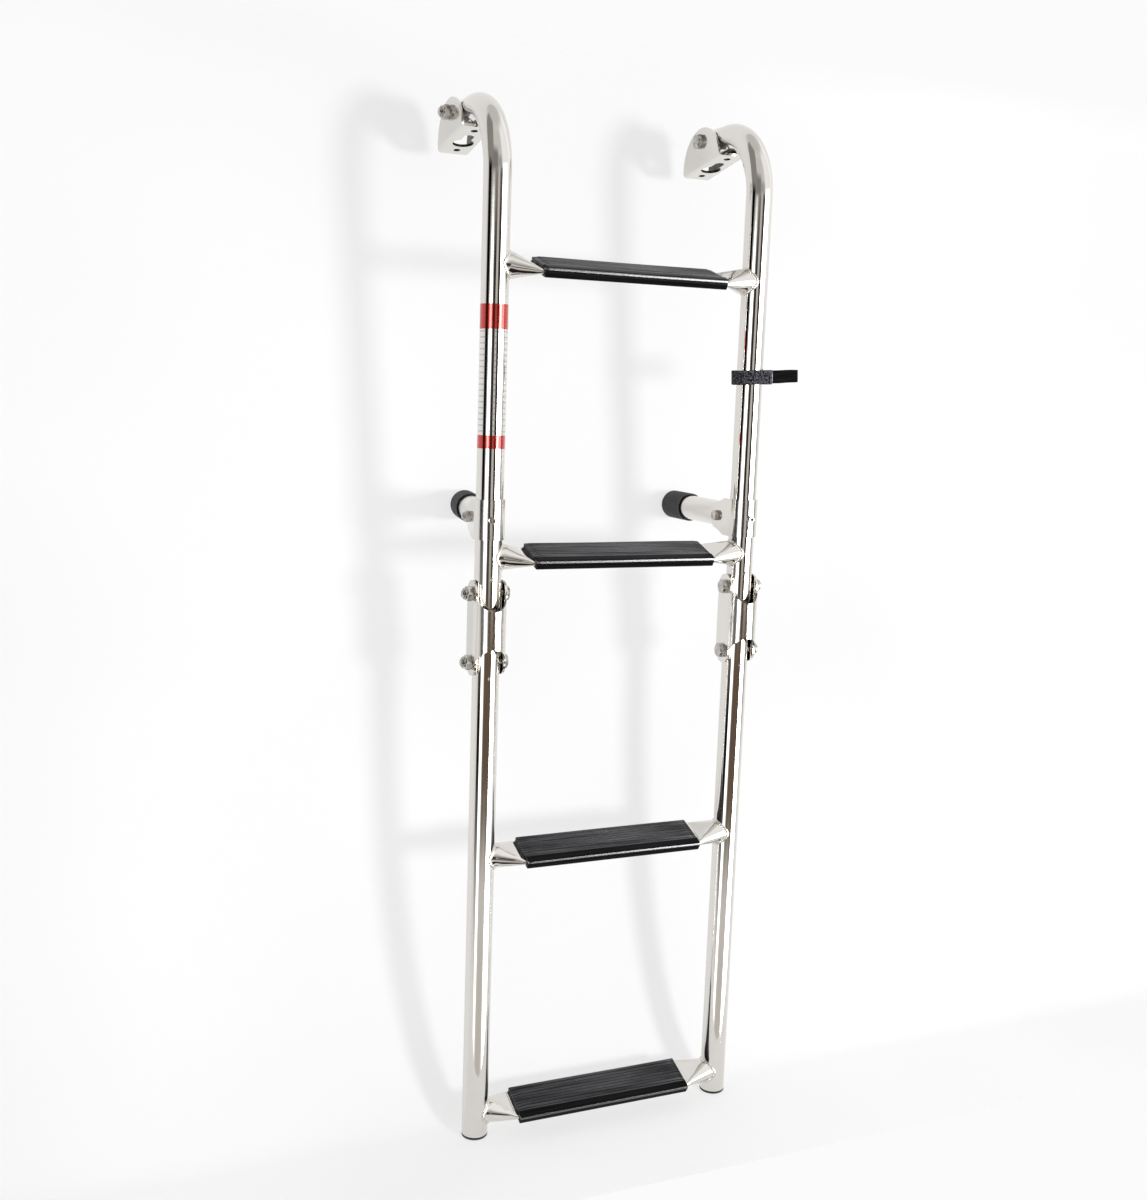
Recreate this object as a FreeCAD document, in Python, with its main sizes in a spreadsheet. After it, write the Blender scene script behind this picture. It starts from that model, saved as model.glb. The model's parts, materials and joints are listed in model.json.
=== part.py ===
import FreeCAD, Part
import Sketcher
import os
import re

# Folding boat swim ladder with four steps, in millimetres.
# The origin is the centre of the left deck bracket's base face.
# +X runs along the steps to the right rail, +Y points in over the boat, +Z is up.
# The left rail's axis is at x = 0. The bracket bases are tilted about their bolts.

Vector = FreeCAD.Vector
Rotation = FreeCAD.Rotation
Placement = FreeCAD.Placement

# Driving dimensions: alias, value, meaning.
SIZES = (
    ("tube_od", 25.4, "outside diameter of the rail and arm tube"),
    ("tube_wall", 1.5, "wall of the tubes"),
    ("rail_spacing", 265, "between the rails' axes"),
    ("bend_radius", 64, "centre line radius of the bend at a rail's top"),
    ("arm_reach", 98, "rail axis to bracket bolt"),
    ("arm_tail", 13, "tube past the bracket bolt"),
    ("top_drop", 144, "bracket bolt down to the top step"),
    ("step_pitch", 262.5, "between two steps of one section"),
    ("hinge_drop", 33.5, "second step down to the upper hinge bolt"),
    ("hinge_pitch", 64.5, "between the two bolts of a hinge link"),
    ("third_drop", 190, "lower hinge bolt down to the third step"),
    ("foot_drop", 23, "bottom step down to the foot"),
    ("tube_tail", 22, "tube past a hinge bolt"),
    ("fork_gap", 0.5, "each side between a tube and the fork around it"),
    ("bolt_od", 8, "bolts of the brackets and hinges"),
    ("bolt_gap", 0.1, "radial clearance of a bolt in its hole"),
    ("head_flats", 13, "bolt head and nut across flats"),
    ("head_height", 5, "bolt head"),
    ("nut_height", 8, "lock nut"),
    ("bolt_tail", 1.5, "bolt past its nut"),
    ("bracket_tilt", 10, "degrees that a bracket base leans, front edge up"),
    ("bracket_length", 75, "base plate, front to back"),
    ("bracket_wall", 2.5, "bracket sheet"),
    ("bracket_bend", 3.5, "outer radius of the bracket's folds"),
    ("bolt_height", 25, "base face up to the bracket bolt"),
    ("screw_spacing", 53, "between the two deck screw holes"),
    ("screw_hole", 6.6, "diameter of a deck screw hole"),
    ("keyhole_od", 20, "round end of the base's cut-out"),
    ("keyhole_shift", 7, "round end's centre behind the middle"),
    ("keyhole_slot", 9.5, "width of the cut-out's slot"),
    ("keyhole_reach", 15, "slot's end in front of the middle"),
    ("link_wall", 2, "hinge link sheet"),
    ("link_ear", 12.5, "radius of a hinge link's ear"),
    ("link_forward", 8, "rail axis forward to the axis of the link's rounded web"),
    ("link_relief", 14.6, "radius that clears each bolt in the link's web"),
    ("step_od", 24, "round end of a step tube"),
    ("step_wall", 1.2, "wall of a step tube"),
    ("step_land", 4, "round stretch beside a rail"),
    ("flat_spare", 2.5, "flattened stretch past each end of the tread"),
    ("flat_width", 35, "flattened stretch, front to back"),
    ("flat_height", 5.6, "flattened stretch, thickness"),
    ("step_tilt", 17.8, "degrees that a step leans, back edge up"),
    ("tread_length", 184, "tread along the step"),
    ("tread_depth", 41, "tread front to back"),
    ("tread_height", 10.5, "tread thickness at its nose"),
    ("tread_top", 6.2, "tread's top above the step tube's axis"),
    ("tread_shift", 2.3, "tread's middle in front of the step tube's axis"),
    ("tread_nose", 4, "radius of the tread's long edges"),
    ("tread_gap", 0.2, "between tread and tube"),
    ("lip_gap", 18, "open strip under the tread"),
    ("groove_width", 1.2, "groove in the tread"),
    ("groove_depth", 0.8, "groove in the tread"),
    ("groove_pitch", 3.6, "between grooves"),
    ("plug_flange", 2.5, "foot plug below the tube's end"),
    ("plug_depth", 14, "foot plug inside the tube"),
    ("plug_gap", 0.15, "between plug and tube bore"),
    ("clamp_rise", 35, "second step up to a standoff clamp's middle"),
    ("clamp_height", 36.6, "standoff clamp along the rail"),
    ("clamp_wall", 1.5, "standoff clamp sheet"),
    ("clamp_gap", 0.3, "between clamp and rail"),
    ("clamp_flare", 12, "clamp's full height ends this far behind the rail axis"),
    ("clamp_bolt", 26, "rail axis back to the arm's bolt"),
    ("clamp_ear", 13, "radius of the clamp's ear about the arm's bolt"),
    ("arm_bolt_od", 6, "standoff arm's bolt"),
    ("arm_head_flats", 10, "its head and nut across flats"),
    ("arm_head_height", 4, "its head"),
    ("arm_nut_height", 6, "its nut"),
    ("arm_start", 14.5, "rail axis back to the standoff tube's end"),
    ("arm_length", 151, "rail axis back to the rubber cap's face"),
    ("cap_length", 41, "rubber cap"),
    ("cap_wall", 2, "rubber around the tube"),
    ("cap_end", 5, "rubber past the tube's end"),
    ("cap_gap", 0.05, "between rubber and tube"),
    ("cap_round", 1.2, "radius of the cap's edges"),
    ("toe_in", 9.4, "degrees that the left standoff is swivelled inwards"),
    ("screw_od", 6, "clamp's set screw"),
    ("screw_reach", 19.5, "rail axis to the set screw's outer end"),
    ("screw_socket", 3, "socket in the set screw"),
    ("strap_width", 13, "retaining strap along the rail"),
    ("strap_tape", 1.6, "strap thickness"),
    ("strap_loose", 1.4, "slack of the strap round the rail"),
    ("strap_far", 44, "rail axis out to the centre of the strap's far end"),
    ("strap_end", 8, "inner radius of the strap's far end"),
    ("strap_flap", 18, "rail axis out to the strap's loose end"),
    ("strap_rise", 172.5, "second step up to the strap"),
    ("strap_tilt", 3.4, "degrees that the strap's far end is higher"),
    ("label_rise", 99.5, "second step up to the label"),
    ("label_length", 128, "label along the rail"),
    ("label_film", 0.15, "label thickness"),
    ("label_gap", 0.05, "between label and rail"),
)
GROOVES = 8

# How far a cutting form runs past what it cuts.
PAST = 5
# A hair of difference keeps a round outline a true ellipse.
HAIR = 0.001
# An edge runs along an axis where its direction has more than this share of it.
ALIGNED = 0.99
# Two places are the same within this distance.
SAME = 0.01

doc = FreeCAD.newDocument("swim_ladder")
sheet = doc.addObject("Spreadsheet::Sheet", "Sizes")
VALUES = {}
for row, (alias, value, meaning) in enumerate(SIZES, start=1):
    sheet.set(f"A{row}", alias)
    sheet.set(f"B{row}", str(value))
    sheet.set(f"C{row}", meaning)
    sheet.setAlias(f"B{row}", alias)
    VALUES[alias] = value
doc.recompute()

# Places worked out from the driving dimensions, as expressions.
TUBE_R = "(tube_od / 2)"
BOLT_Y = "(bolt_height * sin(bracket_tilt))"
BOLT_Z = "(bolt_height * cos(bracket_tilt))"
RAIL_Y = f"({BOLT_Y} - arm_reach)"
TOP_Z = f"({BOLT_Z} - top_drop)"
SECOND_Z = f"({TOP_Z} - step_pitch)"
UPPER_HINGE_Z = f"({SECOND_Z} - hinge_drop)"
LOWER_HINGE_Z = f"({UPPER_HINGE_Z} - hinge_pitch)"
THIRD_Z = f"({LOWER_HINGE_Z} - third_drop)"
BOTTOM_Z = f"({THIRD_Z} - step_pitch)"
FOOT_Z = f"({BOTTOM_Z} - foot_drop)"
CLAMP_Z = f"({SECOND_Z} + clamp_rise)"
FLAT_LENGTH = "(tread_length + 2 * flat_spare)"
FORK_IN = f"({TUBE_R} + fork_gap)"
BOLT_HOLE_R = "(bolt_od / 2 + bolt_gap)"

# Side name, rail's place along X, and the way from it to the other rail.
SIDES = (("left", "0", 1), ("right", "rail_spacing", -1))

# Turns that lay a primitive's own Z axis along X, Y or Z.
ALONG = {
    "x": Rotation(Vector(0, 1, 0), 90),
    "y": Rotation(Vector(1, 0, 0), -90),
    "z": Rotation(),
}
# Lays a flat ring or ellipse across X, with its long way along Y.
ACROSS_X = Rotation(Vector(1, 1, 1), 120)
# Stands a quarter ring in the YZ plane, from straight up to straight forward.
QUARTER_BEND = Rotation(Vector(1, 0, 1), 180)

pieces = []


def cell_text(text):
    """Put the sheet's name before each alias in an expression."""
    def named(match):
        word = match.group()
        return "Sizes." + word if word in VALUES else word
    return re.sub(r"[a-z][a-z_]*", named, text)


def bind(item, **expressions):
    """Bind properties of an object to expressions of the sheet."""
    for name, text in expressions.items():
        item.setExpression(name, cell_text(text))


def place(item, at, turn=None, angle=None):
    """Put an object at three expressions, turned, with an optional bound angle."""
    if turn is not None:
        item.Placement = Placement(Vector(), turn)
    for axis, text in zip("xyz", at):
        item.setExpression(f"Placement.Base.{axis}", cell_text(text))
    if angle is not None:
        item.setExpression("Placement.Rotation.Angle", cell_text(angle))
    return item


def cylinder(name, radius, length, at, along):
    """Round bar that starts at a point and runs along an axis."""
    item = doc.addObject("Part::Cylinder", name)
    bind(item, Radius=radius, Height=length)
    return place(item, at, ALONG[along])


def box(name, length, width, height, at):
    """Block with its lowest corner at a point."""
    item = doc.addObject("Part::Box", name)
    bind(item, Length=length, Width=width, Height=height)
    return place(item, at)


def hexagon(name, flats, length, at):
    """Hexagonal head or nut along X."""
    item = doc.addObject("Part::Prism", name)
    item.Polygon = 6
    bind(item, Circumradius=f"{flats} / sqrt(3)", Height=length)
    return place(item, at, ALONG["x"])


def fuse(name, *parts):
    """Join solids into one."""
    item = doc.addObject("Part::MultiFuse", name)
    item.Shapes = list(parts)
    item.Refine = True
    return item


def cut(name, base, *tools):
    """Take one or more solids out of another."""
    item = doc.addObject("Part::Cut", name)
    item.Base = base
    item.Tool = tools[0] if len(tools) == 1 else fuse(name + "_tools", *tools)
    return item


def common(name, *parts):
    """Keep what the solids share."""
    item = doc.addObject("Part::MultiCommon", name)
    item.Shapes = list(parts)
    return item


def finish(item, label):
    """Give a sub-part the name of its file."""
    item.Label = label
    pieces.append(item)
    return item


def plane_of(body, role):
    """One of a body's own origin planes."""
    for feature in body.Origin.OriginFeatures:
        if feature.Role == role:
            return feature
    raise ValueError(role)


def new_sketch(body, name, role):
    """Sketch on one of a body's origin planes."""
    sketch = body.newObject("Sketcher::SketchObject", name)
    sketch.AttachmentSupport = [(plane_of(body, role), "")]
    sketch.MapMode = "FlatFace"
    return sketch


def fix_point(sketch, index, position, across, up):
    """Hold a sketch point at two bound distances from the sketch's origin."""
    for kind, text in (("DistanceX", across), ("DistanceY", up)):
        if text == "0":
            axis = -2 if kind == "DistanceX" else -1
            sketch.addConstraint(Sketcher.Constraint("PointOnObject", index, position, axis))
            continue
        number = sketch.addConstraint(Sketcher.Constraint(kind, -1, 1, index, position, 1.0))
        sketch.setExpression(f"Constraints[{number}]", cell_text(text))


def draw_polygon(sketch, corners):
    """Closed outline of straight lines through bound corners."""
    first = sketch.GeometryCount
    count = len(corners)
    for step in range(count):
        start = Vector(step, step * step, 0)
        end = Vector((step + 1) % count, ((step + 1) % count) ** 2, 0)
        sketch.addGeometry(Part.LineSegment(start, end))
    for step in range(count):
        after = first + (step + 1) % count
        sketch.addConstraint(Sketcher.Constraint("Coincident", first + step, 2, after, 1))
    for step, (across, up) in enumerate(corners):
        fix_point(sketch, first + step, 1, across, up)


def draw_rectangle(sketch, left, right, low, high):
    """Rectangle between four bound edges."""
    draw_polygon(sketch, ((left, low), (right, low), (right, high), (left, high)))


def draw_circle(sketch, across, up, radius):
    """Circle about a bound centre."""
    index = sketch.addGeometry(Part.Circle(Vector(1, 1, 0), Vector(0, 0, 1), 1))
    fix_point(sketch, index, 3, across, up)
    number = sketch.addConstraint(Sketcher.Constraint("Radius", index, 1.0))
    sketch.setExpression(f"Constraints[{number}]", cell_text(radius))


def edges_where(shape, test):
    """Names of a shape's edges that pass a test on their middle and direction."""
    names = []
    for number, edge in enumerate(shape.Edges, start=1):
        middle = edge.valueAt((edge.FirstParameter + edge.LastParameter) / 2)
        along = edge.tangentAt((edge.FirstParameter + edge.LastParameter) / 2)
        if test(middle, along):
            names.append(f"Edge{number}")
    return names


def tube_run(name, radius, bottom, x):
    """Solid rail form: straight up, a quarter bend, and back over the deck."""
    centre_z = f"({BOLT_Z} - bend_radius)"
    upright = cylinder(name + "_upright", radius, f"{centre_z} - {bottom}", (x, RAIL_Y, bottom), "z")
    bend = doc.addObject("Part::Torus", name + "_bend")
    bend.Angle3 = 90
    bind(bend, Radius1="bend_radius", Radius2=radius)
    place(bend, (x, f"{RAIL_Y} + bend_radius", centre_z), QUARTER_BEND)
    arm = cylinder(
        name + "_arm", radius, "arm_reach - bend_radius + arm_tail",
        (x, f"{RAIL_Y} + bend_radius", BOLT_Z), "y")
    return fuse(name, upright, bend, arm)


def make_upper_rail(side, x):
    """Bent upper rail with its bores for the bracket and hinge bolts."""
    name = f"{side}_upper_rail"
    bottom = f"({UPPER_HINGE_Z} - tube_tail)"
    wall = tube_run(name + "_form", TUBE_R, bottom, x)
    bore = tube_run(name + "_bore", f"{TUBE_R} - tube_wall", bottom, x)
    start = f"{x} - tube_od"
    holes = [
        cylinder(f"{name}_hole", BOLT_HOLE_R, "2 * tube_od", (start, y, z), "x")
        for y, z in ((BOLT_Y, BOLT_Z), (RAIL_Y, UPPER_HINGE_Z))]
    finish(cut(name + "_tube", wall, bore, *holes), name)


def make_lower_rail(side, x):
    """Straight lower rail with the hinge bolt's bore."""
    name = f"{side}_lower_rail"
    bottom = f"({FOOT_Z} + plug_flange)"
    length = f"{LOWER_HINGE_Z} + tube_tail - {bottom}"
    wall = cylinder(name + "_form", TUBE_R, length, (x, RAIL_Y, bottom), "z")
    bore = cylinder(name + "_bore", f"{TUBE_R} - tube_wall", length, (x, RAIL_Y, bottom), "z")
    hole = cylinder(
        name + "_hole", BOLT_HOLE_R, "2 * tube_od", (f"{x} - tube_od", RAIL_Y, LOWER_HINGE_Z), "x")
    finish(cut(name + "_tube", wall, bore, hole), name)


def make_foot_plug(side, x):
    """Plastic plug in a rail's foot, with a flange that stands on the ground."""
    name = f"{side}_foot_plug"
    flange = cylinder(name + "_flange", TUBE_R, "plug_flange", (x, RAIL_Y, FOOT_Z), "z")
    stem = cylinder(
        name + "_stem", f"{TUBE_R} - tube_wall - plug_gap", "plug_flange + plug_depth",
        (x, RAIL_Y, FOOT_Z), "z")
    finish(fuse(name + "_form", flange, stem), name)


def section(name, x, long_radius, short_radius):
    """Outline across a step tube, as an ellipse."""
    item = doc.addObject("Part::Ellipse", name)
    bind(item, MajorRadius=long_radius, MinorRadius=short_radius)
    return place(item, (x, "0", "0"), ACROSS_X)


def step_form(name, inset):
    """Step tube's form: round at both rails and pressed flat between."""
    round_r = f"step_od / 2 - {inset}"
    sections = []
    taper = f"(rail_spacing - {FLAT_LENGTH}) / 2"
    land = f"({TUBE_R} + step_land)"
    outlines = (
        ("0", False), (land, False), (taper, True),
        (f"rail_spacing - {taper}", True), (f"rail_spacing - {land}", False), ("rail_spacing", False))
    for x, flat in outlines:
        long_radius = f"flat_width / 2 - {inset}" if flat else f"{round_r} + {HAIR}"
        short_radius = f"flat_height / 2 - {inset}" if flat else round_r
        sections.append(section(name + "_outline", x, long_radius, short_radius))
    loft = doc.addObject("Part::Loft", name)
    loft.Sections = sections
    loft.Solid = True
    loft.Ruled = True
    return loft


def make_step_tube(name, z):
    """Step tube, coped round both rails, leaned with its back edge up."""
    form = step_form(name + "_form", "0")
    bore = step_form(name + "_bore", "step_wall")
    copes = []
    for x in ("0", "rail_spacing"):
        cope = doc.addObject("Part::Cylinder", name + "_cope")
        bind(cope, Radius=TUBE_R, Height="4 * step_od")
        centre = (x, "-2 * step_od * sin(step_tilt)", "-2 * step_od * cos(step_tilt)")
        copes.append(place(cope, centre, Rotation(Vector(1, 0, 0), 1), "-step_tilt"))
    tube = cut(name + "_tube", form, bore, *copes)
    place(tube, ("0", RAIL_Y, z), Rotation(Vector(1, 0, 0), 1), "step_tilt")
    finish(tube, name)


def make_tread(name, z):
    """Ribbed plastic tread that clips round the flattened step tube."""
    body = doc.addObject("PartDesign::Body", name + "_body")
    front = "(-tread_shift - tread_depth / 2)"
    back = "(tread_depth / 2 - tread_shift)"
    low = "(tread_top - tread_height)"

    block_sketch = new_sketch(body, name + "_block", "YZ_Plane")
    draw_rectangle(block_sketch, front, back, low, "tread_top")
    block = body.newObject("PartDesign::Pad", name + "_pad")
    block.Profile = block_sketch
    block.SideType = "Symmetric"
    bind(block, Length="tread_length")
    doc.recompute()

    nose = body.newObject("PartDesign::Fillet", name + "_nose")
    nose.Base = (block, edges_where(block.Shape, lambda middle, along: abs(along.x) > ALIGNED))
    bind(nose, Radius="tread_nose")

    cavity_sketch = new_sketch(body, name + "_cavity", "YZ_Plane")
    draw_cavity(cavity_sketch)
    cavity = body.newObject("PartDesign::Pocket", name + "_seat")
    cavity.Profile = cavity_sketch
    cavity.Type = "ThroughAll"
    cavity.SideType = "Symmetric"

    lip_sketch = new_sketch(body, name + "_lip", "YZ_Plane")
    draw_rectangle(lip_sketch, "(-lip_gap / 2 - tread_shift)", "(lip_gap / 2 - tread_shift)",
                   f"{low} - {PAST}", "(-flat_height / 4)")
    lip = body.newObject("PartDesign::Pocket", name + "_opening")
    lip.Profile = lip_sketch
    lip.Type = "ThroughAll"
    lip.SideType = "Symmetric"

    groove_sketch = new_sketch(body, name + "_groove", "YZ_Plane")
    for number in range(GROOVES):
        middle = f"{number - (GROOVES - 1) / 2} * groove_pitch - tread_shift"
        draw_rectangle(groove_sketch, f"{middle} - groove_width / 2", f"{middle} + groove_width / 2",
                       "tread_top - groove_depth", "tread_top + groove_depth")
    groove = body.newObject("PartDesign::Pocket", name + "_grooves")
    groove.Profile = groove_sketch
    groove.Type = "ThroughAll"
    groove.SideType = "Symmetric"

    place(body, ("rail_spacing / 2", RAIL_Y, z), Rotation(Vector(1, 0, 0), 1), "step_tilt")
    finish(body, name)


def draw_cavity(sketch):
    """Ellipse a little larger than the flattened tube."""
    wide = VALUES["flat_width"] + 2 * VALUES["tread_gap"]
    high = VALUES["flat_height"] + 2 * VALUES["tread_gap"]
    index = sketch.addGeometry(Part.Ellipse(Vector(wide / 2, 0, 0), Vector(0, high / 2, 0), Vector()))
    sketch.exposeInternalGeometry(index)
    sketch.addConstraint(Sketcher.Constraint("Coincident", index, 3, -1, 1))
    sketch.addConstraint(Sketcher.Constraint("PointOnObject", index + 1, 1, -1))
    for line, start, text in (
            (index + 1, wide, "flat_width + 2 * tread_gap"),
            (index + 2, high, "flat_height + 2 * tread_gap")):
        number = sketch.addConstraint(Sketcher.Constraint("Distance", line, start))
        sketch.setExpression(f"Constraints[{number}]", cell_text(text))


def bolt(name, od, flats, head, nut, tail, grip, x, y, z, inward):
    """Hexagon bolt along X with its head inboard and a nut outboard."""
    half = f"({grip} / 2)"
    if inward > 0:
        head_x = f"{x} + {half}"
        nut_x = f"{x} - {half} - {nut}"
        shank_x = f"{nut_x} - {tail}"
    else:
        head_x = f"{x} - {half} - {head}"
        nut_x = f"{x} + {half}"
        shank_x = head_x
    shank = cylinder(
        name + "_shank", f"{od} / 2", f"{grip} + {head} + {nut} + {tail}", (shank_x, y, z), "x")
    return fuse(
        name + "_form", shank, hexagon(name + "_head", flats, head, (head_x, y, z)),
        hexagon(name + "_nut", flats, nut, (nut_x, y, z)))


def main_bolt(name, grip, x, y, z, inward):
    """One of the larger bolts of the brackets and hinges."""
    item = bolt(
        name, "bolt_od", "head_flats", "head_height", "nut_height", "bolt_tail", grip, x, y, z, inward)
    finish(item, name)


def make_bracket(side, x, inward):
    """Folded deck bracket: a base with screw holes and two half round ears."""
    name = f"{side}_deck_bracket"
    body = doc.addObject("PartDesign::Body", name + "_body")
    outer = f"({FORK_IN} + bracket_wall)"
    top = f"(bracket_length / 2 + {PAST})"

    channel_sketch = new_sketch(body, name + "_channel", "XZ_Plane")
    draw_rectangle(channel_sketch, f"-{outer}", outer, "0", top)
    channel = body.newObject("PartDesign::Pad", name + "_pad")
    channel.Profile = channel_sketch
    channel.SideType = "Symmetric"
    bind(channel, Length="bracket_length")

    inside_sketch = new_sketch(body, name + "_inside", "XZ_Plane")
    draw_rectangle(inside_sketch, f"-{FORK_IN}", FORK_IN, "bracket_wall", f"{top} + {PAST}")
    inside = body.newObject("PartDesign::Pocket", name + "_fork")
    inside.Profile = inside_sketch
    inside.Type = "ThroughAll"
    inside.SideType = "Symmetric"
    doc.recompute()

    folds = body.newObject("PartDesign::Fillet", name + "_folds")
    folds.Base = (inside, edges_where(
        inside.Shape, lambda middle, along: abs(along.y) > ALIGNED and middle.z < SAME))
    bind(folds, Radius="bracket_bend")
    doc.recompute()

    inner_folds = body.newObject("PartDesign::Fillet", name + "_inner_folds")
    wall = VALUES["bracket_wall"]
    inner_folds.Base = (folds, edges_where(
        folds.Shape, lambda middle, along: abs(along.y) > ALIGNED and abs(middle.z - wall) < SAME
        and abs(middle.x) > VALUES["tube_od"] / 2))
    bind(inner_folds, Radius="bracket_bend - bracket_wall")

    ear_sketch = new_sketch(body, name + "_ears", "YZ_Plane")
    reach = f"(bracket_length / 2 + {PAST})"
    draw_rectangle(ear_sketch, f"-{reach}", reach, f"-{reach}", reach)
    draw_circle(ear_sketch, "0", "0", "bracket_length / 2")
    ears = body.newObject("PartDesign::Pocket", name + "_round")
    ears.Profile = ear_sketch
    ears.Type = "ThroughAll"
    ears.SideType = "Symmetric"

    bolt_sketch = new_sketch(body, name + "_bolt_hole", "YZ_Plane")
    draw_circle(bolt_sketch, "0", "bolt_height", BOLT_HOLE_R)
    bolt_hole = body.newObject("PartDesign::Pocket", name + "_bore")
    bolt_hole.Profile = bolt_sketch
    bolt_hole.Type = "ThroughAll"
    bolt_hole.SideType = "Symmetric"

    base_sketch = new_sketch(body, name + "_base_holes", "XY_Plane")
    draw_circle(base_sketch, "0", "screw_spacing / 2", "screw_hole / 2")
    draw_circle(base_sketch, "0", "-screw_spacing / 2", "screw_hole / 2")
    draw_circle(base_sketch, "0", "keyhole_shift", "keyhole_od / 2")
    base_holes = body.newObject("PartDesign::Pocket", name + "_screws")
    base_holes.Profile = base_sketch
    base_holes.Type = "ThroughAll"
    base_holes.SideType = "Symmetric"

    slot_sketch = new_sketch(body, name + "_slot", "XY_Plane")
    draw_rectangle(slot_sketch, "-keyhole_slot / 2", "keyhole_slot / 2",
                   "keyhole_slot / 2 - keyhole_reach", "keyhole_shift")
    slot = body.newObject("PartDesign::Pocket", name + "_keyhole")
    slot.Profile = slot_sketch
    slot.Type = "ThroughAll"
    slot.SideType = "Symmetric"

    end_sketch = new_sketch(body, name + "_slot_end", "XY_Plane")
    draw_circle(end_sketch, "0", "keyhole_slot / 2 - keyhole_reach", "keyhole_slot / 2")
    end = body.newObject("PartDesign::Pocket", name + "_keyhole_end")
    end.Profile = end_sketch
    end.Type = "ThroughAll"
    end.SideType = "Symmetric"

    place(body, (x, "0", "0"), Rotation(Vector(1, 0, 0), -1), "-bracket_tilt")
    finish(body, name)
    main_bolt(f"{side}_bracket_bolt", f"(2 * {outer})", x, BOLT_Y, BOLT_Z, inward)


def fork_web(name, inner, wall, height, low, y):
    """Front half of a sleeve about an upright axis, which is the rail's where Y is 0."""
    outer = f"({inner} + {wall})"
    sleeve = cylinder(name + "_sleeve", outer, height, ("0", y, low), "z")
    bore = cylinder(name + "_inside", inner, height, ("0", y, low), "z")
    front = box(name + "_front", f"2 * {outer}", outer, height, (f"-{outer}", f"{y} - {outer}", low))
    return common(name + "_web", cut(name + "_ring", sleeve, bore), front)


def make_link(side, x, inward):
    """Hinge link: a channel with a rounded web in front of the joint and a flat ear each side."""
    name = f"{side}_hinge_link"
    outer = f"({FORK_IN} + link_wall)"
    low = "(-hinge_pitch / 2)"
    web = fork_web(name, FORK_IN, "link_wall", "hinge_pitch", low, "-link_forward")
    reliefs = [
        cylinder(name + "_relief", "link_relief", outer, ("0", f"-link_forward - {outer}", z), "y")
        for z in (low, "(hinge_pitch / 2)")]
    parts = [cut(name + "_front_web", web, *reliefs)]
    for ear_x in (f"-{outer}", FORK_IN):
        parts.append(box(
            name + "_ear", "link_wall", "link_ear + link_forward", "hinge_pitch",
            (ear_x, "-link_forward", low)))
        for z in (low, "(hinge_pitch / 2)"):
            parts.append(cylinder(name + "_ear_end", "link_ear", "link_wall", (ear_x, "0", z), "x"))
    holes = [
        cylinder(name + "_hole", BOLT_HOLE_R, f"2 * {outer}", (f"-{outer}", "0", z), "x")
        for z in (low, "(hinge_pitch / 2)")]
    link = cut(name + "_form", fuse(name + "_sheet", *parts), *holes)
    place(link, (x, RAIL_Y, f"{UPPER_HINGE_Z} - hinge_pitch / 2"))
    finish(link, name)
    for level, z in (("upper", UPPER_HINGE_Z), ("lower", LOWER_HINGE_Z)):
        main_bolt(f"{side}_{level}_hinge_bolt", f"(2 * {outer})", x, RAIL_Y, z, inward)


def ear_plate(name, x_low, clamp_outline):
    """Flat ear of a standoff clamp, drawn from the side."""
    body = doc.addObject("PartDesign::Body", name)
    sketch = new_sketch(body, name + "_outline", "YZ_Plane")
    draw_polygon(sketch, clamp_outline)
    pad = body.newObject("PartDesign::Pad", name + "_pad")
    pad.Profile = sketch
    bind(pad, Length="clamp_wall")
    place(body, (x_low, "0", "0"))
    return body


def swing(item, side, x):
    """Put a standoff piece at its clamp, with the left one toed in."""
    if side == "left":
        return place(item, (x, RAIL_Y, CLAMP_Z), Rotation(Vector(0, 0, -1), 1), "toe_in")
    return place(item, (x, RAIL_Y, CLAMP_Z))


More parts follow.
